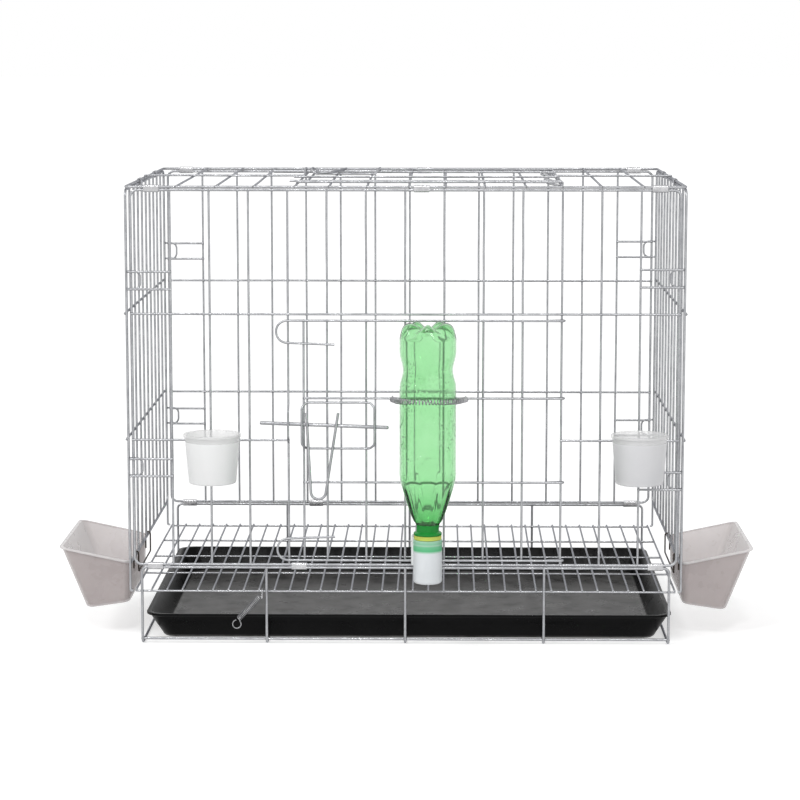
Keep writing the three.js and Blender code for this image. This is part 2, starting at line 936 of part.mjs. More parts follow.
function neckRing() {
  const foot = drinkerTop + play;
  const bore = bottleNeckRadius + play;
  const solidRing = turned([
    [0, foot],
    [ringRadius, foot],
    [ringRadius, foot + ringHeight],
    [0, foot + ringHeight],
  ]);
  const hole = turned([
    [0, foot - overrun],
    [bore, foot - overrun],
    [bore, foot + ringHeight + overrun],
    [0, foot + ringHeight + overrun],
  ]);
  return solidRing.subtract(hole);
}

// Basin: a cap with a trough that reaches through the door, open on top inside
function drinker() {
  const cap = turned([
    [0, drinkerBottom],
    [drinkerRadius, drinkerBottom],
    [drinkerRadius, drinkerTop],
    [0, drinkerTop],
  ]);
  const socketFoot = drinkerTop - socketDepth;
  const socket = turned([
    [0, socketFoot],
    [bottleNeckRadius + play, socketFoot],
    [bottleNeckRadius + play, drinkerTop + overrun],
    [0, drinkerTop + overrun],
  ]);
  const foot = panelFoot + frontDoorRises[frontDoorRises.length - 1] + meshHalf + play;
  const half = troughWidth / 2;
  const shift = troughPlace - bottlePlace;
  const inside = bottleStandOff + troughInside;
  const box = (inset, z, y0) =>
    roundedRing(
      shift - half + inset,
      shift + half - inset,
      y0 + inset,
      inside - inset,
      troughCorner - inset,
      () => z,
    );
  const outer = skin([box(0, foot, 0), box(0, foot + troughHeight, 0)]);
  const rearPart = bottleStandOff + meshWire;
  const basin = skin([
    box(drinkerWall, foot + drinkerWall, rearPart),
    box(drinkerWall, foot + troughHeight + overrun, rearPart),
  ]);
  return cap.add(outer).subtract(socket).subtract(basin);
}

const drinkerGroup = new THREE.Group();
drinkerGroup.position.set(bottlePlace, bottleY, 0);
cage.add(drinkerGroup);
piece("bottle_drinker", drinker(), whitePlastic, drinkerGroup);
piece("bottle_ring", neckRing(), ringPlastic, drinkerGroup);
piece("bottle", bottle(), greenPlastic, drinkerGroup);

// Springs: curls wound round a centre line
function curls(centre, side, lift, count, phase) {
  return Array.from({ length: count * stepsPerCurl + 1 }, (_, k) => {
    const share = k / (count * stepsPerCurl);
    const angle = phase + share * count * 2 * Math.PI;
    return centre(share)
      .addScaledVector(side(share), Math.cos(angle) * coilRadius)
      .addScaledVector(lift, Math.sin(angle) * coilRadius);
  });
}

// Least gap between the turns of a spring, measured on the points of its path
function leastGap(path) {
  let least = Infinity;
  for (let i = 0; i < path.length; i++) {
    for (let k = i + stepsPerCurl - 2; k < path.length; k++) {
      least = Math.min(least, path[i].distanceTo(path[k]) - springWire);
    }
  }
  return least;
}

// A hook over a wire that runs along x, from the front over the top to the back
function hook(x, y, z, radius) {
  return Array.from({ length: hookSteps + 1 }, (_, k) => {
    const angle = Math.PI - (k / hookSteps) * hookTurnShare * Math.PI;
    return point(x, y + Math.cos(angle) * radius, z + Math.sin(angle) * radius);
  });
}

// The bottle's spring runs from a hook on the left, round the front and to a hook on the right
function bottleSpring() {
  const z = panelFoot + bottleSpringRise;
  const wireY = -halfDepth - doorCrossLayer;
  const grip = meshHalf * Math.SQRT2 + play + springWire / 2;
  const radius = bottleRadius + play + coilRadius + springWire;
  const start = wireY - grip - coilRadius - springWire;
  const straight = start - bottleY;
  const left = bottlePlace - radius;
  const right = bottlePlace + radius;
  const bow = Math.PI * radius;
  const total = 2 * straight + bow;
  const centre = (share) => {
    const run = share * total;
    if (run < straight) {
      const part = run / straight;
      return point(bottleSpringLeft + part * (left - bottleSpringLeft), start - run, z);
    }
    if (run < straight + bow) {
      const angle = Math.PI + (run - straight) / radius;
      return point(
        bottlePlace + Math.cos(angle) * radius,
        bottleY + Math.sin(angle) * radius,
        z,
      );
    }
    const back = run - straight - bow;
    const part = back / straight;
    return point(right + part * (bottleSpringRight - right), bottleY + back, z);
  };
  const side = (share) => {
    const run = share * total;
    if (run < straight) {
      return point(-1, 0, 0);
    }
    if (run > straight + bow) {
      return point(1, 0, 0);
    }
    const angle = Math.PI + (run - straight) / radius;
    return point(Math.cos(angle), Math.sin(angle), 0);
  };
  const body = curls(centre, side, point(0, 0, 1), bottleSpringCurls, Math.PI / 2);
  const wireZ = panelFoot + frontDoorRises[1];
  const leftHook = hook(body[0].x, wireY, wireZ, grip).reverse();
  const rightHook = hook(body[body.length - 1].x, wireY, wireZ, grip);
  const path = [...leftHook, ...body, ...rightHook];
  console.log("bottle spring least gap", leastGap(path).toFixed(2));
  return sweep(path, springWire, springSides);
}

// The tray's spring hangs from the floor's front wire and ends in a ring
function traySpring() {
  const edge = -halfDepth + frameRadius + play + floorRadius;
  const wireZ = floorHeight - floorWire * weldShare;
  const grip = floorRadius * squareShare * Math.SQRT2 + play + springWire / 2;
  const y = -halfDepth - play - coilRadius - springWire / 2;
  const top = point(traySpringPlace, y, wireZ - traySpringLead);
  const foot = point(traySpringPlace - traySpringRun, y, wireZ - traySpringLead - traySpringFall);
  const way = foot.clone().sub(top).normalize();
  const lift = point(0, 1, 0);
  const sideways = way.clone().cross(lift);
  const centre = (share) => top.clone().lerp(foot, share);
  const body = curls(centre, () => sideways, lift, traySpringCurls, 0);
  const hang = hook(body[0].x, edge, wireZ, grip).reverse();
  const last = body[body.length - 1];
  const middle = last.clone().addScaledVector(way, traySpringRing + springWire);
  const ringPath = Array.from({ length: ringSteps - 1 }, (_, k) => {
    const angle = (k / ringSteps) * 2 * Math.PI;
    return middle
      .clone()
      .addScaledVector(way, -Math.cos(angle) * traySpringRing)
      .addScaledVector(sideways, Math.sin(angle) * traySpringRing);
  });
  const path = [...hang, ...body, ...ringPath];
  console.log("tray spring least gap", leastGap(path).toFixed(2));
  return sweep(path, springWire, springSides);
}

piece("bottle_spring", bottleSpring(), springSteel);
piece("tray_spring", traySpring(), springSteel);

// Water cups with two moulded hooks over the lower cross wire
function cup() {
  const foot = -cupHeight;
  const outer = turned([
    [0, foot],
    [cupFootRadius, foot],
    [cupRadius - cupLip, -cupLipHeight],
    [cupRadius, -cupLipHeight],
    [cupRadius, 0],
    [0, 0],
  ]);
  const inner = turned([
    [0, foot + cupWall],
    [cupFootRadius - cupWall, foot + cupWall],
    [cupRadius - cupLip - cupWall, overrun],
    [0, overrun],
  ]);
  const wireFront = cupRadius + play;
  const strapFoot = meshHalf + play - cupRimAbove;
  const strapBack = wireFront + 2 * meshHalf + play + hookSheet;
  const hooks = [-hookPlace, hookPlace].map((x) => {
    const x0 = x - hookWidth / 2;
    const x1 = x + hookWidth / 2;
    const start = cupFootRadius / 2;
    const strap = block(x0, x1, start, strapBack, strapFoot, strapFoot + hookSheet);
    const leg = block(
      x0,
      x1,
      strapBack - hookSheet,
      strapBack,
      strapFoot - hookDrop,
      strapFoot + hookSheet,
    );
    return strap.add(leg);
  });
  return weld([outer, ...hooks]).subtract(inner);
}

const cupY = -halfDepth - crossStep - meshHalf - play - cupRadius;
const cupZ = panelFoot + lowerRailRise + cupRimAbove;
piece("left_cup", cup(), clearPlastic).position.set(leftCupPlace, cupY, cupZ);
piece("right_cup", cup(), clearPlastic).position.set(rightCupPlace, cupY, cupZ);

// Feed troughs outside the side panels, each on a bent hanger over the bottom rail
const hangerOut = frameRadius + play + hangerRadius;
const feederFace = sidePlace + hangerOut + hangerRadius + play;

function feeder(way) {
  const half = feederLength / 2;
  const slope = (back, front, reach) => (x) =>
    back + ((front - back) * Math.abs(x - way * feederFace)) / reach;
  const rim = slope(panelFoot - feederBackRimDrop, panelFoot + feederFrontRimRise, feederReach);
  const base = slope(panelFoot - feederBackFootDrop, panelFoot - feederFrontFootDrop, feederFootReach);
  const ring = (inner, outer, end, corner, height) => {
    const ends = [way * (feederFace + inner), way * (feederFace + outer)];
    return roundedRing(
      Math.min(...ends),
      Math.max(...ends),
      feederMiddle - half + end,
      feederMiddle + half - end,
      corner,
      height,
    );
  };
  const lipFoot = (x) => rim(x) - feederLipHeight;
  const raised = (x) => base(x) + feederWall;
  const wide = feederReach - feederLip;
  const thin = feederLip + feederWall;
  return skin([
    ring(feederWall, feederFootReach, feederDraft + feederLip, feederCorner, base),
    ring(0, wide, feederLip, feederCorner, lipFoot),
    ring(0, feederReach, 0, feederCorner, lipFoot),
    ring(0, feederReach, 0, feederCorner, rim),
    ring(feederWall, wide - feederWall, thin, feederCorner - feederWall, rim),
    ring(
      2 * feederWall,
      feederFootReach - feederWall,
      feederDraft + thin,
      feederCorner - feederWall,
      raised,
    ),
  ]);
}

function hanger(way) {
  const outside = way * (sidePlace + hangerOut);
  const inside = way * (sidePlace - hangerOut);
  const over = panelFoot + hangerOut;
  const legFoot = panelFoot - hangerLegDrop;
  const barHeight = panelFoot - hangerDrop;
  const near = feederMiddle - hangerSpread / 2;
  const far = feederMiddle + hangerSpread / 2;
  return wire(
    [
      point(outside, near, legFoot),
      point(outside, near, over),
      point(inside, near, over),
      point(inside, near, barHeight),
      point(inside, far, barHeight),
      point(inside, far, over),
      point(outside, far, over),
      point(outside, far, legFoot),
    ],
    hangerWire,
    hangerBend,
  );
}

[-1, 1].forEach((way) => {
  const side = way < 0 ? "left" : "right";
  piece(`${side}_feeder`, feeder(way), rosePlastic);
  piece(`${side}_hanger`, hanger(way), darkWire);
});

export default cage;
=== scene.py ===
import math
import random
import bmesh
import bpy
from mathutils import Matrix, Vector


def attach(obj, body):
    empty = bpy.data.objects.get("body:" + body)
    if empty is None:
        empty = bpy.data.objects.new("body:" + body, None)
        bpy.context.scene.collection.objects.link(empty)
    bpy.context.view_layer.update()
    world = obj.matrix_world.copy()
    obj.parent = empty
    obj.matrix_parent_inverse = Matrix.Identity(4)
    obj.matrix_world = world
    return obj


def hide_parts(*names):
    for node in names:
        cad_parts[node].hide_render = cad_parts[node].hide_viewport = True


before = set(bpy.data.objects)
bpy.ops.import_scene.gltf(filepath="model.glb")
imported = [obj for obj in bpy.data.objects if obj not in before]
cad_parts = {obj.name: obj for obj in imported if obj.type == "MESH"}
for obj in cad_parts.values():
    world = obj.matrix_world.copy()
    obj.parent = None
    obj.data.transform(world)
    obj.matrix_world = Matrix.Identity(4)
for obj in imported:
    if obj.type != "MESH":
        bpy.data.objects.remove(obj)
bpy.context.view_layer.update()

mm = 0.001
pi = math.pi
chance = random.Random(7)

# Wires by diameter, in millimetres like every length below
wires = {"frame": 3, "mesh": 2.6, "catch": 2.3, "floor": 2.2, "bolt": 4, "handle": 3, "hanger": 1.8, "spring": 1.2}
layerStep = 0.8 * wires["mesh"]
overrun = 1  # how far the end of a wire runs past the wire it is welded to
halfWidth, halfDepth = 300, 200
sidePlace = 305.5
panelFoot, panelTop, roofHeight, standRail = 90, 505, 508.3, 86.7
columns = [-halfWidth + i * halfWidth / 7 for i in range(15)]
railRises = [279.5, 140]
frameBend = 8


class Bag:  # points, faces, weld marks and material numbers of one piece
    def __init__(self, place=None):
        self.points, self.faces, self.marks, self.kinds = [], [], [], []
        self.place = place or (lambda p: p)

    def add(self, points, faces, mark, kind):
        start = len(self.points)
        self.points += [self.place(Vector(p)) for p in points]
        self.faces += [[start + i for i in face] for face in faces]
        self.marks += [mark] * len(points)
        self.kinds += [kind] * len(faces)


# Joins rings of points, capped at both ends unless it closes on itself
def skin(bag, rings, around=False, mark=0.0, kind=0):
    size = len(rings[0])
    points = [p for ring in rings for p in ring]
    faces = []
    for i in range(len(rings) if around else len(rings) - 1):
        a, b = i * size, (i + 1) % len(rings) * size
        faces += [(a + k, a + (k + 1) % size, b + (k + 1) % size, b + k) for k in range(size)]
    if not around:
        faces += [tuple(reversed(range(size))), tuple(range(len(points) - size, len(points)))]
    bag.add(points, faces, mark, kind)


# A corner's least turn that is still rounded, and the most of a side that one bend takes
bends = {"least": 0.05, "most": 0.49}


# Rounds the inner corners of a run of points to a bend radius
def rounded(points, bend, closed=False, steps=8):
    points = [Vector(p) for p in points]
    count = len(points)
    out = []
    for i, corner in enumerate(points):
        if not closed and i in (0, count - 1):
            out.append(corner)
            continue
        back, ahead = points[i - 1] - corner, points[(i + 1) % count] - corner
        half = back.angle(ahead) / 2
        turn = pi - 2 * half
        if turn < bends["least"]:
            out.append(corner)
            continue
        reach = min(bend / math.tan(half), bends["most"] * min(back.length, ahead.length))
        back.normalize()
        ahead.normalize()
        centre = corner + (back + ahead).normalized() * (reach / math.cos(half))
        first, last = corner + back * reach - centre, corner + ahead * reach - centre
        number = max(2, round(steps * turn / (pi / 2)))
        for k in range(number + 1):
            part = turn * k / number
            out.append(centre + (first * math.sin(turn - part) + last * math.sin(part)) / math.sin(turn))
    return out


cutEnd = [(0, 0.8), (0.18, 1)]  # how a cut wire ends: set back and width, in radii
domeEnd = [(0, 0.2), (0.08, 0.5), (0.3, 0.8), (0.6, 0.95), (1, 1)]


# A round wire along a path
def tube(bag, path, thick, closed=False, sides=12, end=cutEnd):
    path = [Vector(p) for p in path]
    radius, count = thick / 2, len(path)
    ways = [(path[(i + 1) % count] - path[i]).normalized() for i in range(count if closed else count - 1)]
    heads = []
    for i in range(count):
        before = ways[i - 1] if closed or i else ways[0]
        after = ways[i] if i < len(ways) else ways[-1]
        heads.append((before + after).normalized())
    across = heads[0].orthogonal().normalized()
    rings = []
    for i, (centre, head) in enumerate(zip(path, heads)):
        across = (across - head * across.dot(head)).normalized()
        upright = head.cross(across)
        stops = [(0, 1)]
        if not closed and i == 0:
            stops = end
        elif not closed and i == count - 1:
            stops = [(-back, wide) for back, wide in reversed(end)]
        for back, wide in stops:
            middle = centre + head * back * radius
            rings.append([middle + (across * math.cos(2 * pi * k / sides) + upright * math.sin(2 * pi * k / sides))
                          * radius * wide for k in range(sides)])
    skin(bag, rings, closed)


drawn = {"waver": 0.22, "long": 120, "shortShare": 0.3}


# A straight wire that wavers by a hair, as drawn wire does, and less where it is short
def rod(bag, start, stop, thick):
    start, stop = Vector(start), Vector(stop)
    share = 1 if (stop - start).length > drawn["long"] else drawn["shortShare"]
    spots = [start]
    for k in (1, 2, 3):
        shift = Vector([chance.uniform(-drawn["waver"], drawn["waver"]) for axis in range(3)])
        spots.append(start.lerp(stop, k / 4) + shift * share)
    tube(bag, spots + [stop], thick)


# A weld: a small squashed ball where two wires meet
def bead(bag, centre, wide, deep, normal=1, rows=6, sides=8):
    stretch = [wide, wide, wide]
    stretch[normal] = deep
    rings = []
    for i in range(1, rows):
        low = -pi / 2 + pi * i / rows
        spots = []
        for k in range(sides):
            turn = 2 * pi * k / sides
            ball = (math.cos(low) * math.cos(turn), math.cos(low) * math.sin(turn), math.sin(low))
            spots.append(Vector(centre) + Vector([part * size for part, size in zip(ball, stretch)]))
        rings.append(spots)
    skin(bag, rings, mark=1.0)


crossWeld = {"least": 0.56, "most": 0.64, "deep": 0.4}  # in wire diameters


# Lines and cross wires on two layers, welded where they cross; at() turns (along, layer, height) into a point
def lattice(bag, at, lines, crosses, lineLayer, crossLayer, thick, normal=1):
    for along, low, high, *path in lines:
        if path:
            tube(bag, path[0], thick)
        else:
            rod(bag, at(along, lineLayer, low), at(along, lineLayer, high), thick)
    for height, left, right in crosses:
        rod(bag, at(left, crossLayer, height), at(right, crossLayer, height), thick)
    for along, low, high, *path in lines:
        for height, left, right in crosses:
            if left - overrun <= along <= right + overrun and low - overrun <= height <= high + overrun:
                wide = thick * chance.uniform(crossWeld["least"], crossWeld["most"])
                bead(bag, at(along, (lineLayer + crossLayer) / 2, height), wide, thick * crossWeld["deep"], normal)


# A body turned about an upright axis; shape() may change a row's radius and height with the angle
def lathe(bag, rows, centre, sides, shape=None, kind=0, around=False):
    rings = []
    for row in rows:
        spots = []
        for k in range(sides):
            angle = 2 * pi * k / sides
            radius, height = shape(row, angle) if shape else row[:2]
            spots.append((centre[0] + radius * math.cos(angle), centre[1] + radius * math.sin(angle), height))
        rings.append(spots)
    skin(bag, rings, around, kind=kind)


# A smooth run through control rows, by Catmull-Rom
def smooth(rows, steps):
    out = []
    padded = [rows[0]] + list(rows) + [rows[-1]]
    for a, b, c, d in zip(padded, padded[1:], padded[2:], padded[3:]):
        for k in range(steps):
            t = k / steps
            out.append(tuple(0.5 * (2 * q + (r - p) * t + (2 * p - 5 * q + 4 * r - s) * t * t
                                    + (3 * q - p - 3 * r + s) * t ** 3) for p, q, r, s in zip(a, b, c, d)))
    return out + [rows[-1]]


# A ring of points round a rectangle with rounded corners; height is a number or depends on x
def outline(x0, x1, y0, y1, corner, height, steps=8):
    rise = height if callable(height) else lambda x: height
    spots = []
    middles = [(x1 - corner, y1 - corner), (x0 + corner, y1 - corner),
               (x0 + corner, y0 + corner), (x1 - corner, y0 + corner)]
    for quarter, (x, y) in enumerate(middles):
        for k in range(steps + 1):
            angle = (quarter + k / steps) * pi / 2
            px, py = x + corner * math.cos(angle), y + corner * math.sin(angle)
            spots.append((px, py, rise(px)))
    return spots


# A flat strip of sheet along a path, with its wide side along one direction
def strip(bag, path, wide, thick, width, soft=0.2):
    path = [Vector(p) for p in path]
    width = Vector(width)
    rings = []
    for i, spot in enumerate(path):
        head = (path[min(i + 1, len(path) - 1)] - path[max(i - 1, 0)]).normalized()
        up = width.cross(head).normalized()
        w, t, s = wide / 2, thick / 2, soft
        corners = [(w, t - s), (w - s, t), (s - w, t), (-w, t - s), (-w, s - t), (s - w, -t), (w - s, -t), (w, s - t)]
        rings.append([spot + width * a + up * b for a, b in corners])
    skin(bag, rings)


# Makes the piece from its bag, in metres, and says what it rides on and stands for
def make(name, bag, looks, body, nodes, angle=42):
    mesh = bpy.data.meshes.new(name)
    mesh.from_pydata([p * mm for p in bag.points], [], bag.faces)
    for look in looks:
        mesh.materials.append(look)
    mesh.polygons.foreach_set("material_index", bag.kinds)
    mesh.attributes.new("weld", "FLOAT", "POINT").data.foreach_set("value", bag.marks)
    net = bmesh.new()
    net.from_mesh(mesh)
    bmesh.ops.recalc_face_normals(net, faces=net.faces)
    net.to_mesh(mesh)
    net.free()
    mesh.shade_smooth()
    mesh.set_sharp_from_angle(angle=math.radians(angle))
    piece = bpy.data.objects.new(name, mesh)
    bpy.context.scene.collection.objects.link(piece)
    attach(piece, body)
    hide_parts(*nodes)


# A shader value with arithmetic, also with a number on the left
class Value:
    def __init__(self, look, plug):
        self.look, self.plug = look, plug

    def join(self, operation, *others):
        return self.look.node("ShaderNodeMath", {"operation": operation}, sockets=dict(enumerate(others)))

    def __add__(self, other):
        return self.join("ADD", self, other)

    def __sub__(self, other):
        return self.join("SUBTRACT", self, other)

    def __rsub__(self, other):
        return self.join("SUBTRACT", other, self)

    def __mul__(self, other):
        return self.join("MULTIPLY", self, other)

    def __truediv__(self, other):
        return self.join("DIVIDE", self, other)

    def __rtruediv__(self, other):
        return self.join("DIVIDE", other, self)

    __radd__, __rmul__ = __add__, __mul__


# A material: constants go on its shader's own sockets, varying values are linked to them
class Look:
    def __init__(self, name, constants):
        self.material = bpy.data.materials.new(name)
        self.material.use_nodes = True
        self.tree = self.material.node_tree
        self.shader = self.tree.nodes["Principled BSDF"]
        for socket, value in constants.items():
            self.shader.inputs[socket].default_value = value
        self.place = self.node("ShaderNodeTexCoord", out="Object")

    # Any node: its settings and ramp stops first, then values or links for its sockets
    def node(self, kind, settings=None, stops=None, out=0, sockets=None):
        made = self.tree.nodes.new(kind)
        for key, value in (settings or {}).items():
            setattr(made, key, value)
        if stops:
            ramp = made.color_ramp.elements
            while len(ramp) < len(stops):
                ramp.new(1)
            for spot, (position, grey) in zip(ramp, stops):
                spot.position, spot.color = position, (grey, grey, grey, 1)
        for key, value in (sockets or {}).items():
            if isinstance(value, Value):
                self.tree.links.new(value.plug, made.inputs[key])
            else:
                made.inputs[key].default_value = value
        return Value(self, made.outputs[out])

    def noise(self, scale, detail, rough=0.6):
        return self.node("ShaderNodeTexNoise", out="Fac",
                         sockets={"Vector": self.place, "Scale": scale, "Detail": detail, "Roughness": rough})

    def ramp(self, value, *stops):
        return self.node("ShaderNodeValToRGB", stops=stops, sockets={0: value})

    # Soft clouds between 0 and 1
    def clouds(self, scale=28, detail=4):
        return self.ramp(self.noise(scale, detail), (0.35, 0), (0.7, 1))

    # A mix of two colours, which are this node's sockets 6 and 7
    def mix(self, share, first, second):
        return self.node("ShaderNodeMix", {"data_type": "RGBA"}, out=2, sockets={0: share, 6: first, 7: second})

    def height(self):
        return self.node("ShaderNodeSeparateXYZ", out="Z", sockets={0: self.place})

    def link(self, **sockets):
        for name, value in sockets.items():
            self.tree.links.new(value.plug, self.shader.inputs[name.replace("_", " ")])

    def bump(self, height, distance):
        self.link(Normal=self.node("ShaderNodeBump", sockets={"Height": height, "Distance": distance, "Strength": 1}))

    # The fine grain of a moulded surface
    def grain(self, distance):
        self.bump(self.noise(420, 2), distance)


def rgb(red, green, blue):
    return (red, green, blue, 1)


# Plated wire: cloudy grey metal, duller and darker on the welds; the darker colour there is partly the welds' own
# discolouring and partly painted shade where the wires cross
def plated(name, bright, dark, rough, metallic=0.92):
    look = Look(name, {"Metallic": metallic, "Specular Tint": rgb(0.45, 0.46, 0.5)})
    cloud = look.ramp(look.noise(55, 4), (0.38, 0), (0.66, 1))
    speck = look.ramp(look.noise(620, 2), (0.42, 0), (0.6, 1))
    weld = look.node("ShaderNodeAttribute", {"attribute_name": "weld"}, out="Fac")
    tone = look.mix(cloud * 0.55 + speck * 0.3, bright, dark)
    # Darker welds: partly their own discolouring, partly painted shade in the crease where two wires cross
    look.link(Base_Color=look.mix(weld * 0.6, tone, rgb(*[0.5 * part for part in dark[:3]])),
              Roughness=cloud * 0.1 + speck * 0.08 + weld * 0.15 + rough)
    look.bump(look.noise(900, 2) + weld * look.noise(2500, 1), 0.00008)
    return look.material


# Moulded plastic: one colour with slight clouding
def moulded(name, colour, second, rough, constants=None, relief=0.00004):
    look = Look(name, {"Specular IOR Level": 0.5, **(constants or {})})
    cloud = look.clouds()
    look.link(Base_Color=look.mix(cloud, colour, second), Roughness=cloud * 0.1 + rough)
    look.grain(relief)
    return look.material


# Smooth moulded plastic that lets some of what is behind it through
def milky(name, colour, second, rough, alpha):
    return moulded(name, colour, second, rough, {"Alpha": alpha}, 0.00001)


# Black tray: dried dust and stains lie on its floor and leave its walls; the floor's grey is partly dust and partly a
# painted reflection
def dustAndSheenTray():
    look = Look("trayBlack", {"Specular IOR Level": 0.08})
    cloud = look.clouds()
    low = look.ramp(look.height() * 100, (0.5, 1), (0.62, 0))
    # Floor grey: partly dust, partly a painted reflection on the black floor
    dustAndSheen = look.ramp(look.noise(40, 6, 0.62), (0.34, 0.06), (0.46, 0.14), (0.75, 0.21))
    tone = look.mix(cloud, rgb(0.002, 0.002, 0.0022), rgb(0.004, 0.004, 0.0042))
    look.link(Base_Color=look.mix(dustAndSheen * low, tone, rgb(0.5, 0.49, 0.48)), Roughness=cloud * 0.1 + 0.26)
    look.grain(0.0001)
    return look.material


# Milky cap: the green neck shows through its top, in two bands above the thread's end
def milkyCap():
    look = Look("drinkerWhite", {"Coat Weight": 0.15, "Subsurface Weight": 0.25, "Subsurface Scale": 0.004,
                                 "Subsurface Radius": (1, 1, 1)})
    cloud = look.clouds(40, 3)
    milk = look.mix(cloud, rgb(0.7, 0.73, 0.75), rgb(0.77, 0.8, 0.82))
    band = look.ramp((look.height() - 0.105) / 0.025, (0.3, 0), (0.42, 1), (0.6, 0.9), (0.66, 0.55), (0.72, 0.75),
                     (0.86, 0.6), (0.92, 0.15))
    look.link(Base_Color=look.mix(band, milk, rgb(0.09, 0.5, 0.22)), Roughness=cloud * 0.08 + 0.3)
    look.grain(0.00004)
    return look.material


# Green bottle: paler above, deep in the shoulder and neck, with drops of water on the middle
def tinted():
    look = Look("bottleGreen", {"Transmission Weight": 1.0, "IOR": 1.45})
    cloud = look.clouds()
    rise = look.height()
    depth = look.ramp((rise - 0.138) / 0.06, (0, 1), (0.25, 0.7), (0.6, 0.25), (1, 0))
    tone = look.mix(cloud, rgb(0.525, 0.817, 0.54), rgb(0.6, 0.858, 0.616))
    look.link(Base_Color=look.mix(depth, tone, rgb(0.19, 0.6, 0.23)), Roughness=cloud * 0.04 + 0.02)
    cell = look.node("ShaderNodeTexVoronoi", out="Distance", sockets={"Vector": look.place, "Scale": 290})
    wet = look.ramp(look.noise(38, 2), (0.5, 0), (0.56, 1))
    middle = look.ramp((rise - 0.2) / 0.14, (0, 0), (0.05, 1), (0.9, 1), (1, 0))
    look.bump(look.ramp(cell, (0, 1), (0.12, 0.85), (0.26, 0)) * (wet * middle), 0.0003)
    return look.material


looks = {
    "zinc": plated("zincWire", rgb(0.46, 0.465, 0.48), rgb(0.27, 0.275, 0.29), 0.24, 0.8),
    "clip": plated("clipSteel", rgb(0.62, 0.62, 0.63), rgb(0.36, 0.36, 0.37), 0.2),
    "spring": plated("springSteel", rgb(0.42, 0.42, 0.43), rgb(0.16, 0.16, 0.17), 0.22),
    "dark": plated("hangerWire", rgb(0.07, 0.055, 0.045), rgb(0.035, 0.028, 0.022), 0.42, 0.6),
    "tray": dustAndSheenTray(),
    "bottle": tinted(),
    "flange": moulded("flangeGreen", rgb(0.02, 0.34, 0.05), rgb(0.03, 0.42, 0.07), 0.1,
                      {"Transmission Weight": 0.3, "IOR": 1.4, "Specular IOR Level": 0.1}),
    "ring": moulded("ringGreen", rgb(0.5, 0.58, 0.09), rgb(0.56, 0.64, 0.12), 0.35),
    "drinker": milkyCap(),
    "trough": moulded("troughWhite", rgb(0.74, 0.77, 0.77), rgb(0.82, 0.85, 0.84), 0.3, {"Coat Weight": 0.15}),
    "left_cup": milky("cupWhite", rgb(0.97, 0.98, 0.98), rgb(0.99, 0.99, 0.99), 0.28, 0.8),
    "right_cup": milky("cupMilky", rgb(0.79, 0.79, 0.81), rgb(0.83, 0.83, 0.84), 0.28, 0.72),
    "cupRim": milky("cupClear", rgb(0.8, 0.8, 0.8), rgb(0.84, 0.84, 0.84), 0.15, 0.45),
    "feeder": milky("feederRose", rgb(0.48, 0.415, 0.41), rgb(0.54, 0.475, 0.465), 0.25, 0.5),
    # The feeder's lip: a little less see-through, and lighter partly as a painted highlight along it
    "feederLipAndHighlight": milky("feederEdgeAndHighlight", rgb(0.74, 0.71, 0.71), rgb(0.8, 0.77, 0.77), 0.25, 0.75),
}
print("materials")

# Places on the front panel's and the roof's own frames, whose third measure runs up the panel
toFront = lambda p: Vector((p.x, p.y - halfDepth, p.z + panelFoot))
toRoof = lambda p: Vector((p.x, p.z - halfDepth, roofHeight - p.y))
flat = lambda x, layer, height: (x, layer, height)

# Welds by place: half their width and half their depth
welds = {"foot": (1.9, 1.5), "frame": (1.75, 1.6), "side": (1.7, 1.9), "catch": (1.6, 1.6),
         "door": (1.55, 1.05), "guide": (1.6, 1.1), "handle": (2.2, 1.6)}


def wirePiece(name, bag, body, node):
    make(name, bag, [looks["zinc"]], body, [node])


# Gives some rows of faces of a piece's first skin the second look
def secondLook(bag, sides, rows):
    bag.kinds = [int(i // sides in rows) for i in range(len(bag.faces))]


# Stand: one closed wire makes both rails, the corner legs and the side bars; three more runners and two foot bars
stand = {"leg": 292.5, "middle": 154, "runner": 1.5, "bend": 6, "footBar": 5.5, "footInset": 2.4, "weldInset": 1.2}
bag = Bag()
runner = lambda x: [(x, -halfDepth, standRail), (x, -halfDepth, stand["runner"]),
                    (x, halfDepth, stand["runner"]), (x, halfDepth, standRail)]
tube(bag, rounded(runner(-stand["leg"]) + runner(stand["leg"])[::-1], stand["bend"], True), wires["frame"], True)
for x in (-stand["middle"], 0, stand["middle"]):
    tube(bag, rounded(runner(x), stand["bend"]), wires["frame"])
for way in (-1, 1):
    y = way * (halfDepth - stand["footInset"])
    end = stand["leg"] + overrun
    rod(bag, (-end, y, stand["footBar"]), (end, y, stand["footBar"]), wires["frame"])
    for x in (-stand["leg"], -stand["middle"], 0, stand["middle"], stand["leg"]):
        bead(bag, (x, way * (halfDepth - stand["weldInset"]), stand["footBar"]), *welds["foot"])
        if abs(x) < stand["leg"]:
            bead(bag, (x, way * halfDepth, standRail), *welds["frame"])
wirePiece("stand_wire", bag, "base", "base_frame")

# Floor: close lines from front to back on five cross wires
floor = {"height": 61, "cross": 59.24, "half": 299, "edge": 197.1, "gaps": 35, "crossGaps": 4}
bag = Bag()
floorLines = [((2 * i / floor["gaps"] - 1) * floor["half"], -floor["edge"] - overrun, floor["edge"] + overrun)
              for i in range(floor["gaps"] + 1)]
floorBars = [((2 * k / floor["crossGaps"] - 1) * floor["edge"], -floor["half"] - overrun, floor["half"] + overrun)
             for k in range(floor["crossGaps"] + 1)]
level = lambda x, layer, y: (x, y, layer)
lattice(bag, level, floorLines, floorBars, floor["height"], floor["cross"], wires["floor"], 2)
wirePiece("floor_wire", bag, "base", "floor_grid")
print("stand and floor")

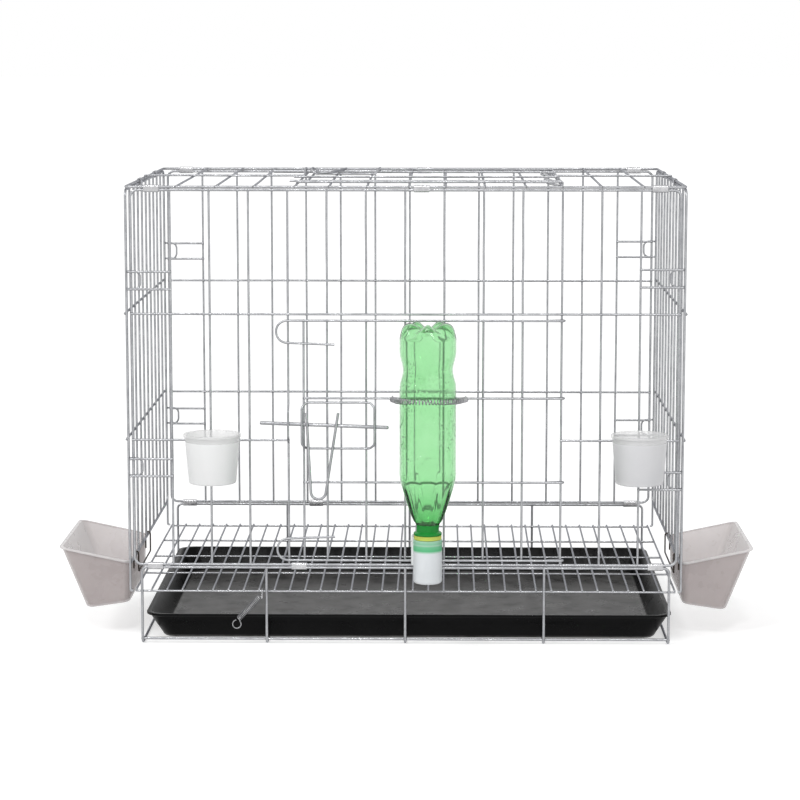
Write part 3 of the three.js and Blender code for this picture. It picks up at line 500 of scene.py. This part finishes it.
# Tray: a drawn shell with sloped walls, a rounded foot and a turned lip; rows of inset, height and corner
tray = {"x": 3.5, "half": 293.5, "deep": 197.2, "foot": 2.9}
trayRows = [
    (22, 0, 13), (18.6, 0.25, 15), (16.9, 1.6, 17), (16.2, 3.2, 17.2), (3.3, 26.4, 19.6), (3, 27, 20),
    (0.5, 27, 20), (0, 27.5, 20), (0, 29.5, 20), (0.5, 30, 19.6), (3.4, 30, 18.8), (4.3, 29.8, 18.5),
    (5, 29, 18.3), (17.6, 4.4, 15.8), (18.6, 2.6, 15.2), (20.4, 1.7, 14), (24, 1.6, 11)]
bag = Bag()
skin(bag, [outline(tray["x"] - tray["half"] + inset, tray["x"] + tray["half"] - inset,
                   -tray["deep"] + inset, tray["deep"] - inset, corner, tray["foot"] + z, 10)
           for inset, z, corner in trayRows])
make("tray_shell", bag, [looks["tray"]], "tray", ["tray"])

# An upright line bent outwards where the bolt slips behind it
bolt = {"layer": 4.27, "handle": 7.07, "guide": 7.87, "start": -160, "end": -18, "tilt": 2.5, "rise": 157,
        "roofRise": 250}
kink = {"below": 12, "above": 15, "taper": 8, "bend": 3}


def kinked(x, foot, top, middle, plane=0):
    low, high, out = middle - kink["below"], middle + kink["above"], plane - bolt["guide"]
    return rounded([(x, plane, foot), (x, plane, low - kink["taper"]), (x, out, low),
                    (x, out, high), (x, plane, high + kink["taper"]), (x, plane, top)], kink["bend"], False, 6)


# Welds where the ends of the wires meet a panel's frame
def endWelds(bag, at, lines, crosses, layers, ends):
    for along, low, high, *path in lines:
        for height in (low, high):
            if height in ends["heights"]:
                bead(bag, at(along, layers[0], height), *welds["frame"])
    for height, left, right in crosses:
        for along in (left, right):
            if abs(along) >= ends["across"]:
                inside = along - math.copysign(overrun, along)
                bead(bag, at(inside, layers[1] / 2 + layers[0] / 2, height), *welds["side"])


catches = {"left": [316.1, 108.9], "right": [318.9, 95.2], "height": 19.2, "reach": 15, "stub": 4}


# Short cross wires in pairs at both ends of a panel, which the side panels' loops catch
def stubs(reach):
    out = []
    for rises, left, right in ((catches["left"], -halfWidth - reach, columns[1] + overrun),
                               (catches["right"], columns[13] - overrun, halfWidth + reach)):
        out += [(panelFoot + rise + way * catches["height"] / 2, left, right) for rise in rises for way in (-1, 1)]
    return out


# Front and rear panels; the front one has the doorway between its fourth and eleventh line
def facing(name, plane, isFront):
    bag = Bag()
    corners = [(-halfWidth, plane, panelFoot), (halfWidth, plane, panelFoot),
               (halfWidth, plane, panelTop), (-halfWidth, plane, panelTop)]
    tube(bag, rounded(corners, frameBend, True), wires["frame"], True)
    upper, lower = [panelFoot + rise for rise in railRises]
    lines = []
    for i, x in enumerate(columns[1:14], 1):
        if isFront and i == 4:
            lines.append((x, panelFoot, panelTop, kinked(x, panelFoot, panelTop, panelFoot + bolt["rise"], plane)))
        else:
            lines.append((x, upper - overrun if isFront and 4 < i < 11 else panelFoot, panelTop))
    left, right = -halfWidth - overrun, halfWidth + overrun
    crosses = [(upper, left, right)] + stubs(catches["stub"] if isFront else overrun)
    if isFront:
        crosses += [(lower, left, columns[4] + overrun), (lower, columns[11] - overrun, right)]
    else:
        crosses += [(lower, left, right)]
    layers = (plane, plane - layerStep)
    lattice(bag, flat, lines, crosses, *layers, wires["mesh"])
    endWelds(bag, flat, lines, crosses, layers, {"heights": (panelFoot, panelTop), "across": halfWidth})
    wirePiece(name + "_wire", bag, name, name)


facing("front_panel", -halfDepth, True)
facing("back_panel", halfDepth, False)

# Side panel, with catch loops at its front and rear edges and a tail below each
sideGaps, sideShift = 10, 1
sideTail = {"start": 11, "drop": 30, "reach": 3.2, "bend": 1.3}


def sidePanel(name, way):
    bag = Bag()
    x, front, rear = way * sidePlace, sideShift - halfDepth, sideShift + halfDepth
    corners = [(x, front, panelFoot), (x, rear, panelFoot), (x, rear, panelTop), (x, front, panelTop)]
    tube(bag, rounded(corners, frameBend, True), wires["frame"], True)
    at = lambda y, layer, z: (x + way * layer, y, z)
    lines = [(front + 2 * halfDepth / sideGaps * i, panelFoot, panelTop) for i in range(1, sideGaps)]
    crosses = [(panelFoot + rise, front - overrun, rear + overrun) for rise in railRises]
    lattice(bag, at, lines, crosses, 0, layerStep, wires["mesh"], 0)
    for along, low, high in lines:
        for z in (low, high):
            bead(bag, at(along, 0, z), *welds["frame"], 0)
    for z, left, right in crosses:
        for y in (front, rear):
            bead(bag, at(y, layerStep / 2, z), *welds["side"], 0)
    half, tip = catches["height"] / 2, x - way * catches["reach"]
    for y in (front + layerStep, rear + layerStep):
        for rise in catches["left" if way < 0 else "right"]:
            low, high = panelFoot + rise - half, panelFoot + rise + half
            arms = [(x + way * overrun, y, low), (tip, y, low), (tip, y, high), (x + way * overrun, y, high)]
            tube(bag, rounded(arms, half / 1.5), wires["catch"])
            for z in (low, high):
                bead(bag, (x, y - layerStep / 2, z), *welds["catch"])
    for y in (front, rear):
        foot = panelFoot - sideTail["drop"]
        tail = [(x, y, panelFoot + sideTail["start"]), (x, y, foot), (x - way * sideTail["reach"], y, foot)]
        tube(bag, rounded(tail, sideTail["bend"]), wires["mesh"])
    wirePiece(name + "_wire", bag, name.replace("_panel", ""), name)


sidePanel("left_side_panel", -1)
sidePanel("right_side_panel", 1)

# Roof panel, with the doorway between its fourth and eleventh line
lineShares = (-0.821, -0.679, -0.543, -0.396, -0.273, -0.137, 0.013, 0.145, 0.285, 0.431, 0.561, 0.701, 0.851)
roof = {"lines": [share * sidePlace for share in lineShares], "front": 60, "middle": 200, "back": 342,
        "depth": 2 * halfDepth, "doorFront": 70, "doorDepth": 262, "doorStart": -130}
bag = Bag(toRoof)
corners = [(-sidePlace, 0, 0), (sidePlace, 0, 0), (sidePlace, 0, roof["depth"]), (-sidePlace, 0, roof["depth"])]
tube(bag, rounded(corners, frameBend, True), wires["frame"], True)
post, hinge = roof["lines"][3], roof["lines"][10]
lines = []
for i, x in enumerate(roof["lines"], 1):
    if i == 4:
        lines.append((x, 0, roof["depth"], kinked(x, 0, roof["depth"], bolt["roofRise"])))
    elif 4 < i < 11:
        lines += [(x, 0, roof["front"] + overrun), (x, roof["back"] - overrun, roof["depth"])]
    else:
        lines.append((x, 0, roof["depth"]))
crosses = [(roof["front"], post - overrun, hinge + overrun), (roof["back"], post - overrun, hinge + overrun),
           (roof["middle"], -sidePlace - overrun, post + overrun),
           (roof["middle"], hinge - overrun, sidePlace + overrun)]
lattice(bag, flat, lines, crosses, 0, -layerStep, wires["mesh"])
endWelds(bag, flat, lines, crosses, (0, -layerStep), {"heights": (0, roof["depth"]), "across": sidePlace})
wirePiece("roof_wire", bag, "top_panel", "top_panel")
print("panels")

# A door leaf: crosses with an eye round the hinge post, lines behind them and the bolt's guide
leaf = {"cross": 2.9, "line": 0.82, "eye": 2.9, "eyeLeg": 15, "eyeTurn": 1.25, "eyeSteps": 18, "stile": -111.4}
guide = {"left": -113.6, "width": 80, "below": 26, "above": 25, "taper": 5, "bend": 5}
loop = {"tip": -141.4, "drop": 24, "back": 64, "bend": 12, "spread": 1.1}


def doorLeaf(place, lines, rises, start, hinge, middle, drops):
    bag = Bag(place)
    near, far = -leaf["cross"], -bolt["guide"]
    turns = [-pi / 2 + k / leaf["eyeSteps"] * leaf["eyeTurn"] * pi for k in range(leaf["eyeSteps"] + 1)]
    for z, drop in zip(rises, drops):
        path = [(start, near, z)]
        if drop:
            tip = loop["tip"]
            path = rounded([(tip + loop["back"], near, z - loop["spread"] * drop), (tip, near, z - drop),
                            (tip, near, z), (hinge, near, z)], loop["bend"])[:-1]
        path += [(hinge + leaf["eye"] * math.cos(a), leaf["eye"] * math.sin(a), z) for a in turns]
        tube(bag, path + [(hinge - leaf["eyeLeg"], layerStep - leaf["cross"], z)], wires["mesh"])
    foot, top = min(rises) - overrun, max(rises) + overrun
    weldLayer = -(leaf["line"] + leaf["cross"]) / 2
    for x in [leaf["stile"]] + lines:
        rod(bag, (x, -leaf["line"], foot), (x, -leaf["line"], top), wires["mesh"])
        for z in rises:
            bead(bag, (x, weldLayer, z), *welds["door"])
    left, right = guide["left"], guide["left"] + guide["width"]
    low, high = middle - guide["below"], middle + guide["above"]
    taper, bend = guide["taper"], guide["bend"]
    tube(bag, rounded([(left + taper, near, high), (left, far, high - bend), (left, far, low + bend),
                       (left + taper, near, low), (right - taper, near, low), (right, far, low + bend),
                       (right, far, high - bend), (right - taper, near, high)], bend, True), wires["mesh"], True)
    for x in lines:
        if left < x < right:
            for z in (low, high):
                bead(bag, (x, weldLayer, z), *welds["guide"])
    return bag


frontRises = [272.4, 186.8, 93.2, 5.6]
frontDrops = [loop["drop"], 0, 0, -loop["drop"]]
bag = doorLeaf(toFront, columns[5:11], frontRises, leaf["stile"], columns[11], bolt["rise"], frontDrops)
wirePiece("front_door_wire", bag, "front_door", "front_door")
roofRises = [roof["doorFront"] + share * roof["doorDepth"] for share in (1, 0.733, 0.325, 0)]
bag = doorLeaf(toRoof, roof["lines"][4:10], roofRises, roof["doorStart"], hinge, bolt["roofRise"], [0, 0, 0, 0])
wirePiece("roof_door_wire", bag, "top_door", "top_door")

# A bolt with its bent handle
handle = {"left": -108.4, "width": 34.9, "top": 14, "drop": 82, "lean": 5, "rightLean": 15, "bend": 8}
share = handle["top"] / (handle["top"] + handle["drop"])
for name, place, middle in (("front_latch", toFront, bolt["rise"]), ("top_latch", toRoof, bolt["roofRise"])):
    bag = Bag(place)
    y, tilt = -bolt["layer"], bolt["tilt"]
    rail = [(bolt["start"], y, middle + tilt), (bolt["end"], y, middle - tilt)]
    tube(bag, rail, wires["bolt"], sides=20, end=domeEnd)
    y, left, right = -bolt["handle"], handle["left"], handle["left"] + handle["width"]
    foot, head = middle - handle["drop"], middle + handle["top"]
    tube(bag, rounded([(left, y, head), (left + handle["lean"], y, foot), (right - handle["rightLean"], y, foot),
                       (right, y, head)], handle["bend"]), wires["handle"], sides=16)
    for x in (left + share * handle["lean"], right - share * handle["rightLean"]):
        bead(bag, (x, -(bolt["handle"] + bolt["layer"]) / 2, middle), *welds["handle"])
    wirePiece(name + "_rod", bag, name, name)
print("doors and bolts")

# Crimped clips round two rails: a strip of sheet with its seam on the inner side
clip = {"inner": 1.75, "sheet": 0.7, "length": 17, "half": 1.65, "seam": 0.5, "steps": 14, "corner": 277,
        "topMiddle": 18, "lowMiddle": -117.5, "sides": (-59, 101), "lowHeight": 88.35, "topHeight": 506.65}


def clipAt(name, x, y, z, turned, body):
    radius = clip["inner"] + clip["sheet"] / 2
    path = [(radius, clip["seam"] / 2)]
    for way, start in ((1, 0), (-1, pi)):
        turns = [start + k / clip["steps"] * pi for k in range(clip["steps"] + 1)]
        path += [(math.cos(a) * radius, way * clip["half"] + math.sin(a) * radius) for a in turns]
    path.append((radius, -clip["seam"] / 2))
    bag = Bag()
    if turned:
        strip(bag, [(x - a, y, z + b) for a, b in path], clip["length"], clip["sheet"], (0, 1, 0))
    else:
        strip(bag, [(x, y + a, z + b) for a, b in path], clip["length"], clip["sheet"], (1, 0, 0))
    make(name + "_sleeve", bag, [looks["clip"]], body, [name])


topPlaces, lowPlaces = [(-clip["corner"], clip[middle], clip["corner"]) for middle in ("topMiddle", "lowMiddle")]
for i, (top, low) in enumerate(zip(topPlaces, lowPlaces), 1):
    for sideName, y in (("front", -halfDepth), ("back", halfDepth)):
        clipAt(f"clip_{sideName}_low_{i}", low, y, clip["lowHeight"], False, "base")
        clipAt(f"clip_{sideName}_top_{i}", top, y, clip["topHeight"], False, "top_panel")
for i, y in enumerate(clip["sides"], 1):
    for sideName, way in (("left", -1), ("right", 1)):
        clipAt(f"clip_{sideName}_{i}", way * sidePlace, y, clip["topHeight"], True, "top_panel")
print("clips")

# Drinker bottle, upside down: neck, flange, fluted shoulder, waist and a base of five feet
bottle = {"x": 25.2, "y": -238.5, "radius": 31, "wall": 1.1, "neck": 12.4, "neckEnd": 115.5, "flange": 15.4,
          "flangeFoot": 131.6, "neckTop": 143, "shoulder": 54, "waist": 313, "waistDepth": 3.6, "waistHalf": 20,
          "waistSteps": 16, "belly": (230, 260), "top": 364.5, "floor": 1.6, "heel": 17, "feet": 5, "press": 8,
          "draw": 2.2, "drawFull": 20, "flutes": 10, "fluteDepth": 0.75, "sides": 120}
middle = (bottle["x"], bottle["y"])
# Rows by their share of the radius; the shoulder's with their share of its height and flute, the foot's with their
# drop below the top and press
shoulderRows = ((0.43, 0.02, 0), (0.52, 0.1, 0.3), (0.66, 0.3, 1), (0.84, 0.62, 1), (0.95, 0.84, 0.5), (1, 1, 0))
footRows = ((1, bottle["heel"], 0), (0.985, 12, 0.35), (0.93, 5.1, 0.9), (0.82, 1.2, 1), (0.66, 0, 1),
            (0.48, 1.8, 0.75), (0.34, 4.3, 0.5), (0.2, 7, 0.2), (0.08, 8.5, 0), (0.01, 8.5, 0))


# Rows of radius, height, press and flute; the press sinks a row between the feet, the flute draws it in
def bottleRows(radius, neck, lift):
    neckTop, top = bottle["neckTop"], bottle["top"] - lift
    shoulder = [(wide * radius, neckTop + high * bottle["shoulder"], 0, flute) for wide, high, flute in shoulderRows]
    rows = smooth([(neck, neckTop - 2, 0, 0)] + shoulder + [(radius, neckTop + 60, 0, 0)], 5)
    rows += [(radius, height, 0, 0) for height in bottle["belly"]]
    low, steps = bottle["waist"] - bottle["waistHalf"], bottle["waistSteps"]
    for k in range(steps + 1):
        dip = (1 - math.cos(2 * pi * k / steps)) / 2
        rows.append((radius - bottle["waistDepth"] * dip, low + 2 * bottle["waistHalf"] * k / steps, 0, 0))
    return rows + smooth([(wide * radius, top - drop, press, 0) for wide, drop, press in footRows], 4)


def bottleShape(row, angle):
    radius, height, press, flute = row
    valley = ((1 - math.cos(bottle["feet"] * (angle + pi / 2))) / 2) ** 0.8
    groove = max(0, math.cos(bottle["flutes"] * angle)) ** 3
    pulled = press * bottle["draw"] * valley * min(1, radius / bottle["drawFull"])
    radius -= flute * bottle["fluteDepth"] * groove + pulled
    return radius, height - bottle["press"] * press * valley


bag = Bag()
neck, foot = bottle["neck"], bottle["flangeFoot"]
outer = [(neck - 0.3, bottle["neckEnd"], 0, 0), (neck, bottle["neckEnd"] + 0.4, 0, 0), (neck, foot, 0, 0)]
outer += bottleRows(bottle["radius"], neck, 0)
room, bore = bottle["radius"] - bottle["wall"], neck - bottle["wall"]
inner = [(bore, bottle["neckEnd"], 0, 0)] + [(*row[:3], 0) for row in bottleRows(room, bore, bottle["floor"])]
lathe(bag, outer + inner[::-1], middle, bottle["sides"], bottleShape, around=True)
bag.kinds = [int(max(bag.points[i].z for i in face) < bottle["neckTop"] + 1) for face in bag.faces]
flange = bottle["flange"]
collar = [(neck + 0.05, foot), (flange - 0.5, foot), (flange, foot + 0.5), (flange, foot + 2.5),
          (flange - 0.6, foot + 3), (neck + 0.9, foot + 3.1), (neck + 0.05, foot + 4.2)]
lathe(bag, collar, middle, bottle["sides"], kind=1, around=True)
make("bottle_body", bag, [looks["bottle"], looks["flange"]], "drinker", ["bottle"], 50)

# Tamper band: a ring with fine upright ribs
band = {"radius": 15.2, "bore": 12.7, "foot": 126.8, "height": 4.5, "ribs": 36, "ribDepth": 0.3, "sides": 288}


def ribbed(row, angle):
    rib = max(0, math.cos(band["ribs"] * angle)) * row[2]
    return row[0] - band["ribDepth"] * rib, row[1]


bag = Bag()
r, bore, h = band["radius"], band["bore"], band["height"]
rows = [(bore, 0.3, 0), (bore + 0.3, 0, 0), (r - 0.4, 0, 0), (r, 0.4, 0), (r, 1, 0), (r, 1.2, 1), (r, 3.3, 1),
        (r, 3.5, 0), (r, h - 0.4, 0), (r - 0.4, h, 0), (bore + 0.3, h, 0), (bore, h - 0.3, 0)]
rows = [(radius, band["foot"] + high, rib) for radius, high, rib in rows]
lathe(bag, rows, middle, band["sides"], ribbed, around=True)
make("bottle_band", bag, [looks["ring"]], "drinker", ["bottle_ring"])

# Drinker: a cap with a socket for the neck, and a trough that reaches through the door, open on top inside
drinker = {"radius": 15.85, "foot": 78, "top": 126.5, "socket": 111, "bore": 12.7, "sides": 72, "trough": 97.05,
           "height": 24, "x": 23, "half": 16, "reach": -179, "open": -197.4, "corner": 3}
bag = Bag()
r, bore, z0, z1 = drinker["radius"], drinker["bore"], drinker["foot"], drinker["top"]
lathe(bag, [(0.5, z0), (12, z0), (14.2, z0 + 0.5), (15.4, z0 + 1.7), (r, z0 + 3.6), (r, z1 - 5), (r, z1 - 0.7),
            (r - 0.7, z1), (bore + 0.6, z1), (bore, z1 - 0.6), (bore, drinker["socket"]), (0.5, drinker["socket"])],
      middle, drinker["sides"])
t0, t1 = drinker["trough"], drinker["trough"] + drinker["height"]


def troughRing(inset, z, y0, y1):
    left, right = drinker["x"] - drinker["half"] + inset, drinker["x"] + drinker["half"] - inset
    return outline(left, right, y0 + inset, y1 - inset, drinker["corner"] - min(inset, 1.6), z)


solidEnd, back = drinker["open"] - 0.4, bottle["y"]
solidRows = ((1, t0), (0.3, t0 + 0.3), (0, t0 + 1), (0, t1 - 1), (0.3, t1 - 0.3), (1, t1))
openRows = ((1, t0), (0.3, t0 + 0.3), (0, t0 + 1), (0, t1 - 0.6), (0.4, t1), (1.2, t1), (1.6, t1 - 0.4),
            (1.6, t0 + 2.6), (1.9, t0 + 1.9), (2.6, t0 + 1.6))
skin(bag, [troughRing(inset, z, back, solidEnd + 2) for inset, z in solidRows], kind=1)
skin(bag, [troughRing(inset, z, solidEnd, drinker["reach"]) for inset, z in openRows], kind=1)
make("drinker_basin", bag, [looks["drinker"], looks["trough"]], "drinker", ["bottle_drinker"])
print("bottle and drinker")

# Springs: close curls along a centre line, with a hook at an end
coil = {"radius": 2.7, "steps": 14, "sides": 8, "hookTurn": 1.3, "hookSteps": 12}


def curls(centre, sideways, lift, count, phase):
    out = []
    for k in range(count * coil["steps"] + 1):
        share = k / (count * coil["steps"])
        a = phase + share * count * 2 * pi
        out.append(Vector(centre(share)) + Vector(sideways(share)) * math.cos(a) * coil["radius"]
                   + Vector(lift) * math.sin(a) * coil["radius"])
    return out


def hook(x, y, z, radius):
    turns = [pi - k / coil["hookSteps"] * coil["hookTurn"] * pi for k in range(coil["hookSteps"] + 1)]
    return [Vector((x, y + math.cos(a) * radius, z + math.sin(a) * radius)) for a in turns]


# The bottle's spring leaves the door, goes round the bottle's front and rises as it does
spring = {"z": 276.5, "left": -14, "right": 66.5, "wireY": -202.9, "wireZ": 276.8, "grip": 2.53, "path": 34.7,
          "curls": 46, "tilt": 0.09}


def springSpot(share):
    first = spring["wireY"] - spring["grip"] - coil["radius"] - wires["spring"]
    straight, bow = first - bottle["y"], pi * spring["path"]
    run = share * (2 * straight + bow)
    left, right = bottle["x"] - spring["path"], bottle["x"] + spring["path"]
    if run < straight:
        x, y, sideways = spring["left"] + run / straight * (left - spring["left"]), first - run, (-1, 0, 0)
    elif run < straight + bow:
        a = pi + (run - straight) / spring["path"]
        x, y = bottle["x"] + math.cos(a) * spring["path"], bottle["y"] + math.sin(a) * spring["path"]
        sideways = (math.cos(a), math.sin(a), 0)
    else:
        run -= straight + bow
        x, y, sideways = right + run / straight * (spring["right"] - right), bottle["y"] + run, (1, 0, 0)
    return (x, y, spring["z"] + spring["tilt"] * (first - y)), sideways


bag = Bag()
body = curls(lambda s: springSpot(s)[0], lambda s: springSpot(s)[1], (0, 0, 1), spring["curls"], pi / 2)
hooks = [hook(end.x, spring["wireY"], spring["wireZ"], spring["grip"]) for end in (body[0], body[-1])]
tube(bag, hooks[0][::-1] + body + hooks[1], wires["spring"], sides=coil["sides"])
make("bottle_spring_coil", bag, [looks["spring"]], "front_door", ["bottle_spring"])

# The tray's spring hangs from the floor's front wire and ends in a ring
hang = {"x": -161, "run": 24, "fall": 25, "curls": 19, "ring": 4.7, "ringTurn": 1.72, "ringSteps": 24, "lead": 5,
        "edge": -197.1, "grip": 2.28, "y": -203.4}
top = Vector((hang["x"], hang["y"], floor["cross"] - hang["lead"]))
down = Vector((-hang["run"], 0, -hang["fall"]))
way = down.normalized()
across = way.cross(Vector((0, 1, 0)))
body = curls(lambda s: top + down * s, lambda s: across, (0, 1, 0), hang["curls"], 0)
eye = body[-1] + way * (hang["ring"] + wires["spring"])
turns = [k / hang["ringSteps"] * hang["ringTurn"] * pi for k in range(hang["ringSteps"] + 1)]
ring = [eye - way * math.cos(a) * hang["ring"] + across * math.sin(a) * hang["ring"] for a in turns]
bag = Bag()
tube(bag, hook(body[0].x, hang["edge"], floor["cross"], hang["grip"])[::-1] + body + ring, wires["spring"],
     sides=coil["sides"])
make("tray_spring_coil", bag, [looks["spring"]], "base", ["tray_spring"])
print("springs")

# Water cups: a tapered cup with a lip and a clear rim, and two moulded hooks over the lower cross wire
cup = {"radius": 31.7, "foot": 26, "height": 54, "wall": 1.4, "y": -235.23, "z": 242, "sides": 80,
       "rimRows": range(7, 16), "hook": 13, "wide": 8, "sheet": 2, "drop": 9, "below": 10.85, "hookStart": 25.2,
       "hookBend": 1.4, "play": 0.3, "wireHalf": 1.15}
r, f, h, inside = cup["radius"], cup["foot"], cup["height"], cup["foot"] - cup["wall"]
cupRows = [(0.5, -h + 1.2), (f - 6, -h + 1.2), (f - 5, -h + 0.3), (f - 3.4, -h), (f - 1.6, -h), (f - 0.5, -h + 0.5),
           (f, -h + 1.8), (r - 2.0, -8), (r - 1.4, -3.4), (r - 1.2, -3), (r - 0.3, -3), (r, -2.7), (r, -0.5),
           (r - 0.5, 0), (r - 2.2, 0), (r - 2.7, -0.4), (r - 3.4, -8), (inside + 0.2, -h + 4), (inside - 1, -h + 2.9),
           (inside - 3, -h + 2.6), (0.5, -h + 2.6)]
startY, z = cup["y"] + cup["hookStart"], cup["z"] - cup["below"] + cup["sheet"] / 2
endY = cup["y"] + r + 2 * (cup["play"] + cup["wireHalf"]) + cup["sheet"] / 2
for name, x in (("left_cup", -209.7), ("right_cup", 255.5)):
    bag = Bag()
    lathe(bag, [(radius, cup["z"] + high) for radius, high in cupRows], (x, cup["y"]), cup["sides"])
    secondLook(bag, cup["sides"], cup["rimRows"])
    for way in (-1, 1):
        px = x + way * cup["hook"]
        path = [(px, startY, z), (px, endY, z), (px, endY, z - cup["drop"] - cup["sheet"] / 2)]
        strip(bag, rounded(path, cup["hookBend"]), cup["wide"], cup["sheet"], (1, 0, 0), 0.4)
    make(name + "_shell", bag, [looks[name], looks["cupRim"]], name, [name], 50)

# Feed troughs outside the side panels: a loft from a small foot to a sloped rim with a lip; the lip is a little less
# see-through and lighter, the lighter colour partly a painted highlight
feeder = {"face": 309.4, "middle": -81, "half": 87.5, "reach": 80, "foot": 51, "rims": (86, 103), "feet": (38.5, 31),
          "sides": 36, "rimRows": range(5, 9)}
hanger = {"outside": 308.2, "inside": 302.8, "over": 2.7, "half": 60, "leg": 73, "foot": 70, "bend": 2.4}
for name, way in (("left_feeder", -1), ("right_feeder", 1)):
    bag = Bag()
    slope = lambda ends, reach: lambda x: ends[0] + (ends[1] - ends[0]) * abs(x - way * feeder["face"]) / reach
    rim, base = slope(feeder["rims"], feeder["reach"]), slope(feeder["feet"], feeder["foot"])

    # One ring, by its distances from the face and from the ends, its corner and its height
    def trough(inner, outer, end, corner, height, lift=0):
        reach = sorted((way * (feeder["face"] + inner), way * (feeder["face"] + outer)))
        half = feeder["half"] - end
        return outline(*reach, feeder["middle"] - half, feeder["middle"] + half, corner, lambda x: height(x) + lift)

    skin(bag, [
        trough(5, 46, 13, 6, base), trough(3, 49, 9.4, 8, base, 0.2), trough(1.8, 51, 7.6, 9, base, 1.6),
        trough(1.6, 52, 7.2, 9, base, 3.2), trough(0, 77.6, 2.4, 9, rim, -2.4), trough(0, 79.6, 0.4, 9, rim, -2.4),
        trough(0, 80, 0, 9, rim, -2), trough(0, 80, 0, 9, rim, -0.4), trough(0.4, 79.6, 0.4, 9, rim),
        trough(1.2, 76.6, 3.4, 8, rim), trough(1.6, 76, 4, 7.4, rim, -0.5), trough(3.2, 50.6, 9, 7.6, base, 5),
        trough(3.6, 49.2, 10.4, 7, base, 2.4), trough(5.2, 47, 12.6, 6, base, 1.6)])
    # The lip's rows get the lip's look, which is partly a painted highlight
    secondLook(bag, feeder["sides"], feeder["rimRows"])
    make(name + "_shell", bag, [looks["feeder"], looks["feederLipAndHighlight"]], name, [name], 50)
    out, inside, over = way * hanger["outside"], way * hanger["inside"], panelFoot + hanger["over"]
    near, far = feeder["middle"] - hanger["half"], feeder["middle"] + hanger["half"]
    leg, foot = hanger["leg"], hanger["foot"]
    bag = Bag()
    tube(bag, rounded([(out, near, leg), (out, near, over), (inside, near, over), (inside, near, foot),
                       (inside, far, foot), (inside, far, over), (out, far, over), (out, far, leg)], hanger["bend"]),
         wires["hanger"])
    node = name.replace("feeder", "hanger")
    make(node + "_wire", bag, [looks["dark"]], name, [node])
print("cups and feeders")


# A strength that is shown to the camera, also in metal and glass, and another that lights the object
def byRay(tree, socket, lit, shown):
    rays = tree.nodes.new("ShaderNodeLightPath")
    strength = tree.nodes.new("ShaderNodeMapRange")
    strength.inputs["To Min"].default_value = lit
    strength.inputs["To Max"].default_value = shown
    total = None
    for ray in ("Is Camera Ray", "Is Glossy Ray", "Is Transmission Ray"):
        step = tree.nodes.new("ShaderNodeMath")
        step.operation, step.use_clamp = "ADD", True
        step.inputs[0].default_value = 0
        if total:
            tree.links.new(total, step.inputs[0])
        tree.links.new(rays.outputs[ray], step.inputs[1])
        total = step.outputs[0]
    tree.links.new(total, strength.inputs["Value"])
    tree.links.new(strength.outputs[0], socket)


# Pale floor that runs out to white, and soft light; lengths in metres from here on
reach = 40
stage = bpy.data.meshes.new("ground")
corners = [(-reach, -reach, 0), (reach, -reach, 0), (reach, reach, 0), (-reach, reach, 0)]
stage.from_pydata(corners, [], [(0, 1, 2, 3)])
ground = bpy.data.objects.new("ground", stage)
bpy.context.scene.collection.objects.link(ground)
paper = Look("groundPaper", {"Base Color": rgb(0.7, 0.7, 0.7), "Roughness": 0.9, "Specular IOR Level": 0.0,
                             "Emission Color": rgb(1, 1, 1)})
byRay(paper.tree, paper.shader.inputs["Emission Strength"], 0.1, 0.55)
stage.materials.append(paper.material)

world = bpy.data.worlds.new("room")
bpy.context.scene.world = world
world.use_nodes = True
backdrop = world.node_tree.nodes["Background"]
backdrop.inputs["Color"].default_value = rgb(1, 1, 1)
byRay(world.node_tree, backdrop.inputs["Strength"], 0.45, 1.0)

# Lamps by name, power, angle across and turn, in degrees
lamps = (("key", 0.8, 24, (38, -14, -28)), ("front", 0.5, 8, (42, 0, -4)), ("left", 0.3, 5, (60, 0, -44)),
         ("right", 0.2, 8, (64, 0, 38)), ("fill", 0.4, 60, (70, 10, 20)))
for name, power, angle, turn in lamps:
    lamp = bpy.data.lights.new(name, "SUN")
    lamp.energy, lamp.angle = power, math.radians(angle)
    holder = bpy.data.objects.new(name, lamp)
    holder.rotation_euler = [math.radians(part) for part in turn]
    bpy.context.scene.collection.objects.link(holder)

# The photograph's camera
lens = bpy.data.cameras.new("camera")
lens.lens, lens.sensor_width, lens.clip_end = 118.74, 36, 100
camera = bpy.data.objects.new("camera", lens)
camera.location = (0.04096, -3.0735, 0.6708)
camera.rotation_euler = [math.radians(part) for part in (82.15, 0, 0.93)]
bpy.context.scene.collection.objects.link(camera)
bpy.context.scene.camera = camera
bpy.context.scene.view_settings.view_transform = "Standard"

print("stage, light and camera")
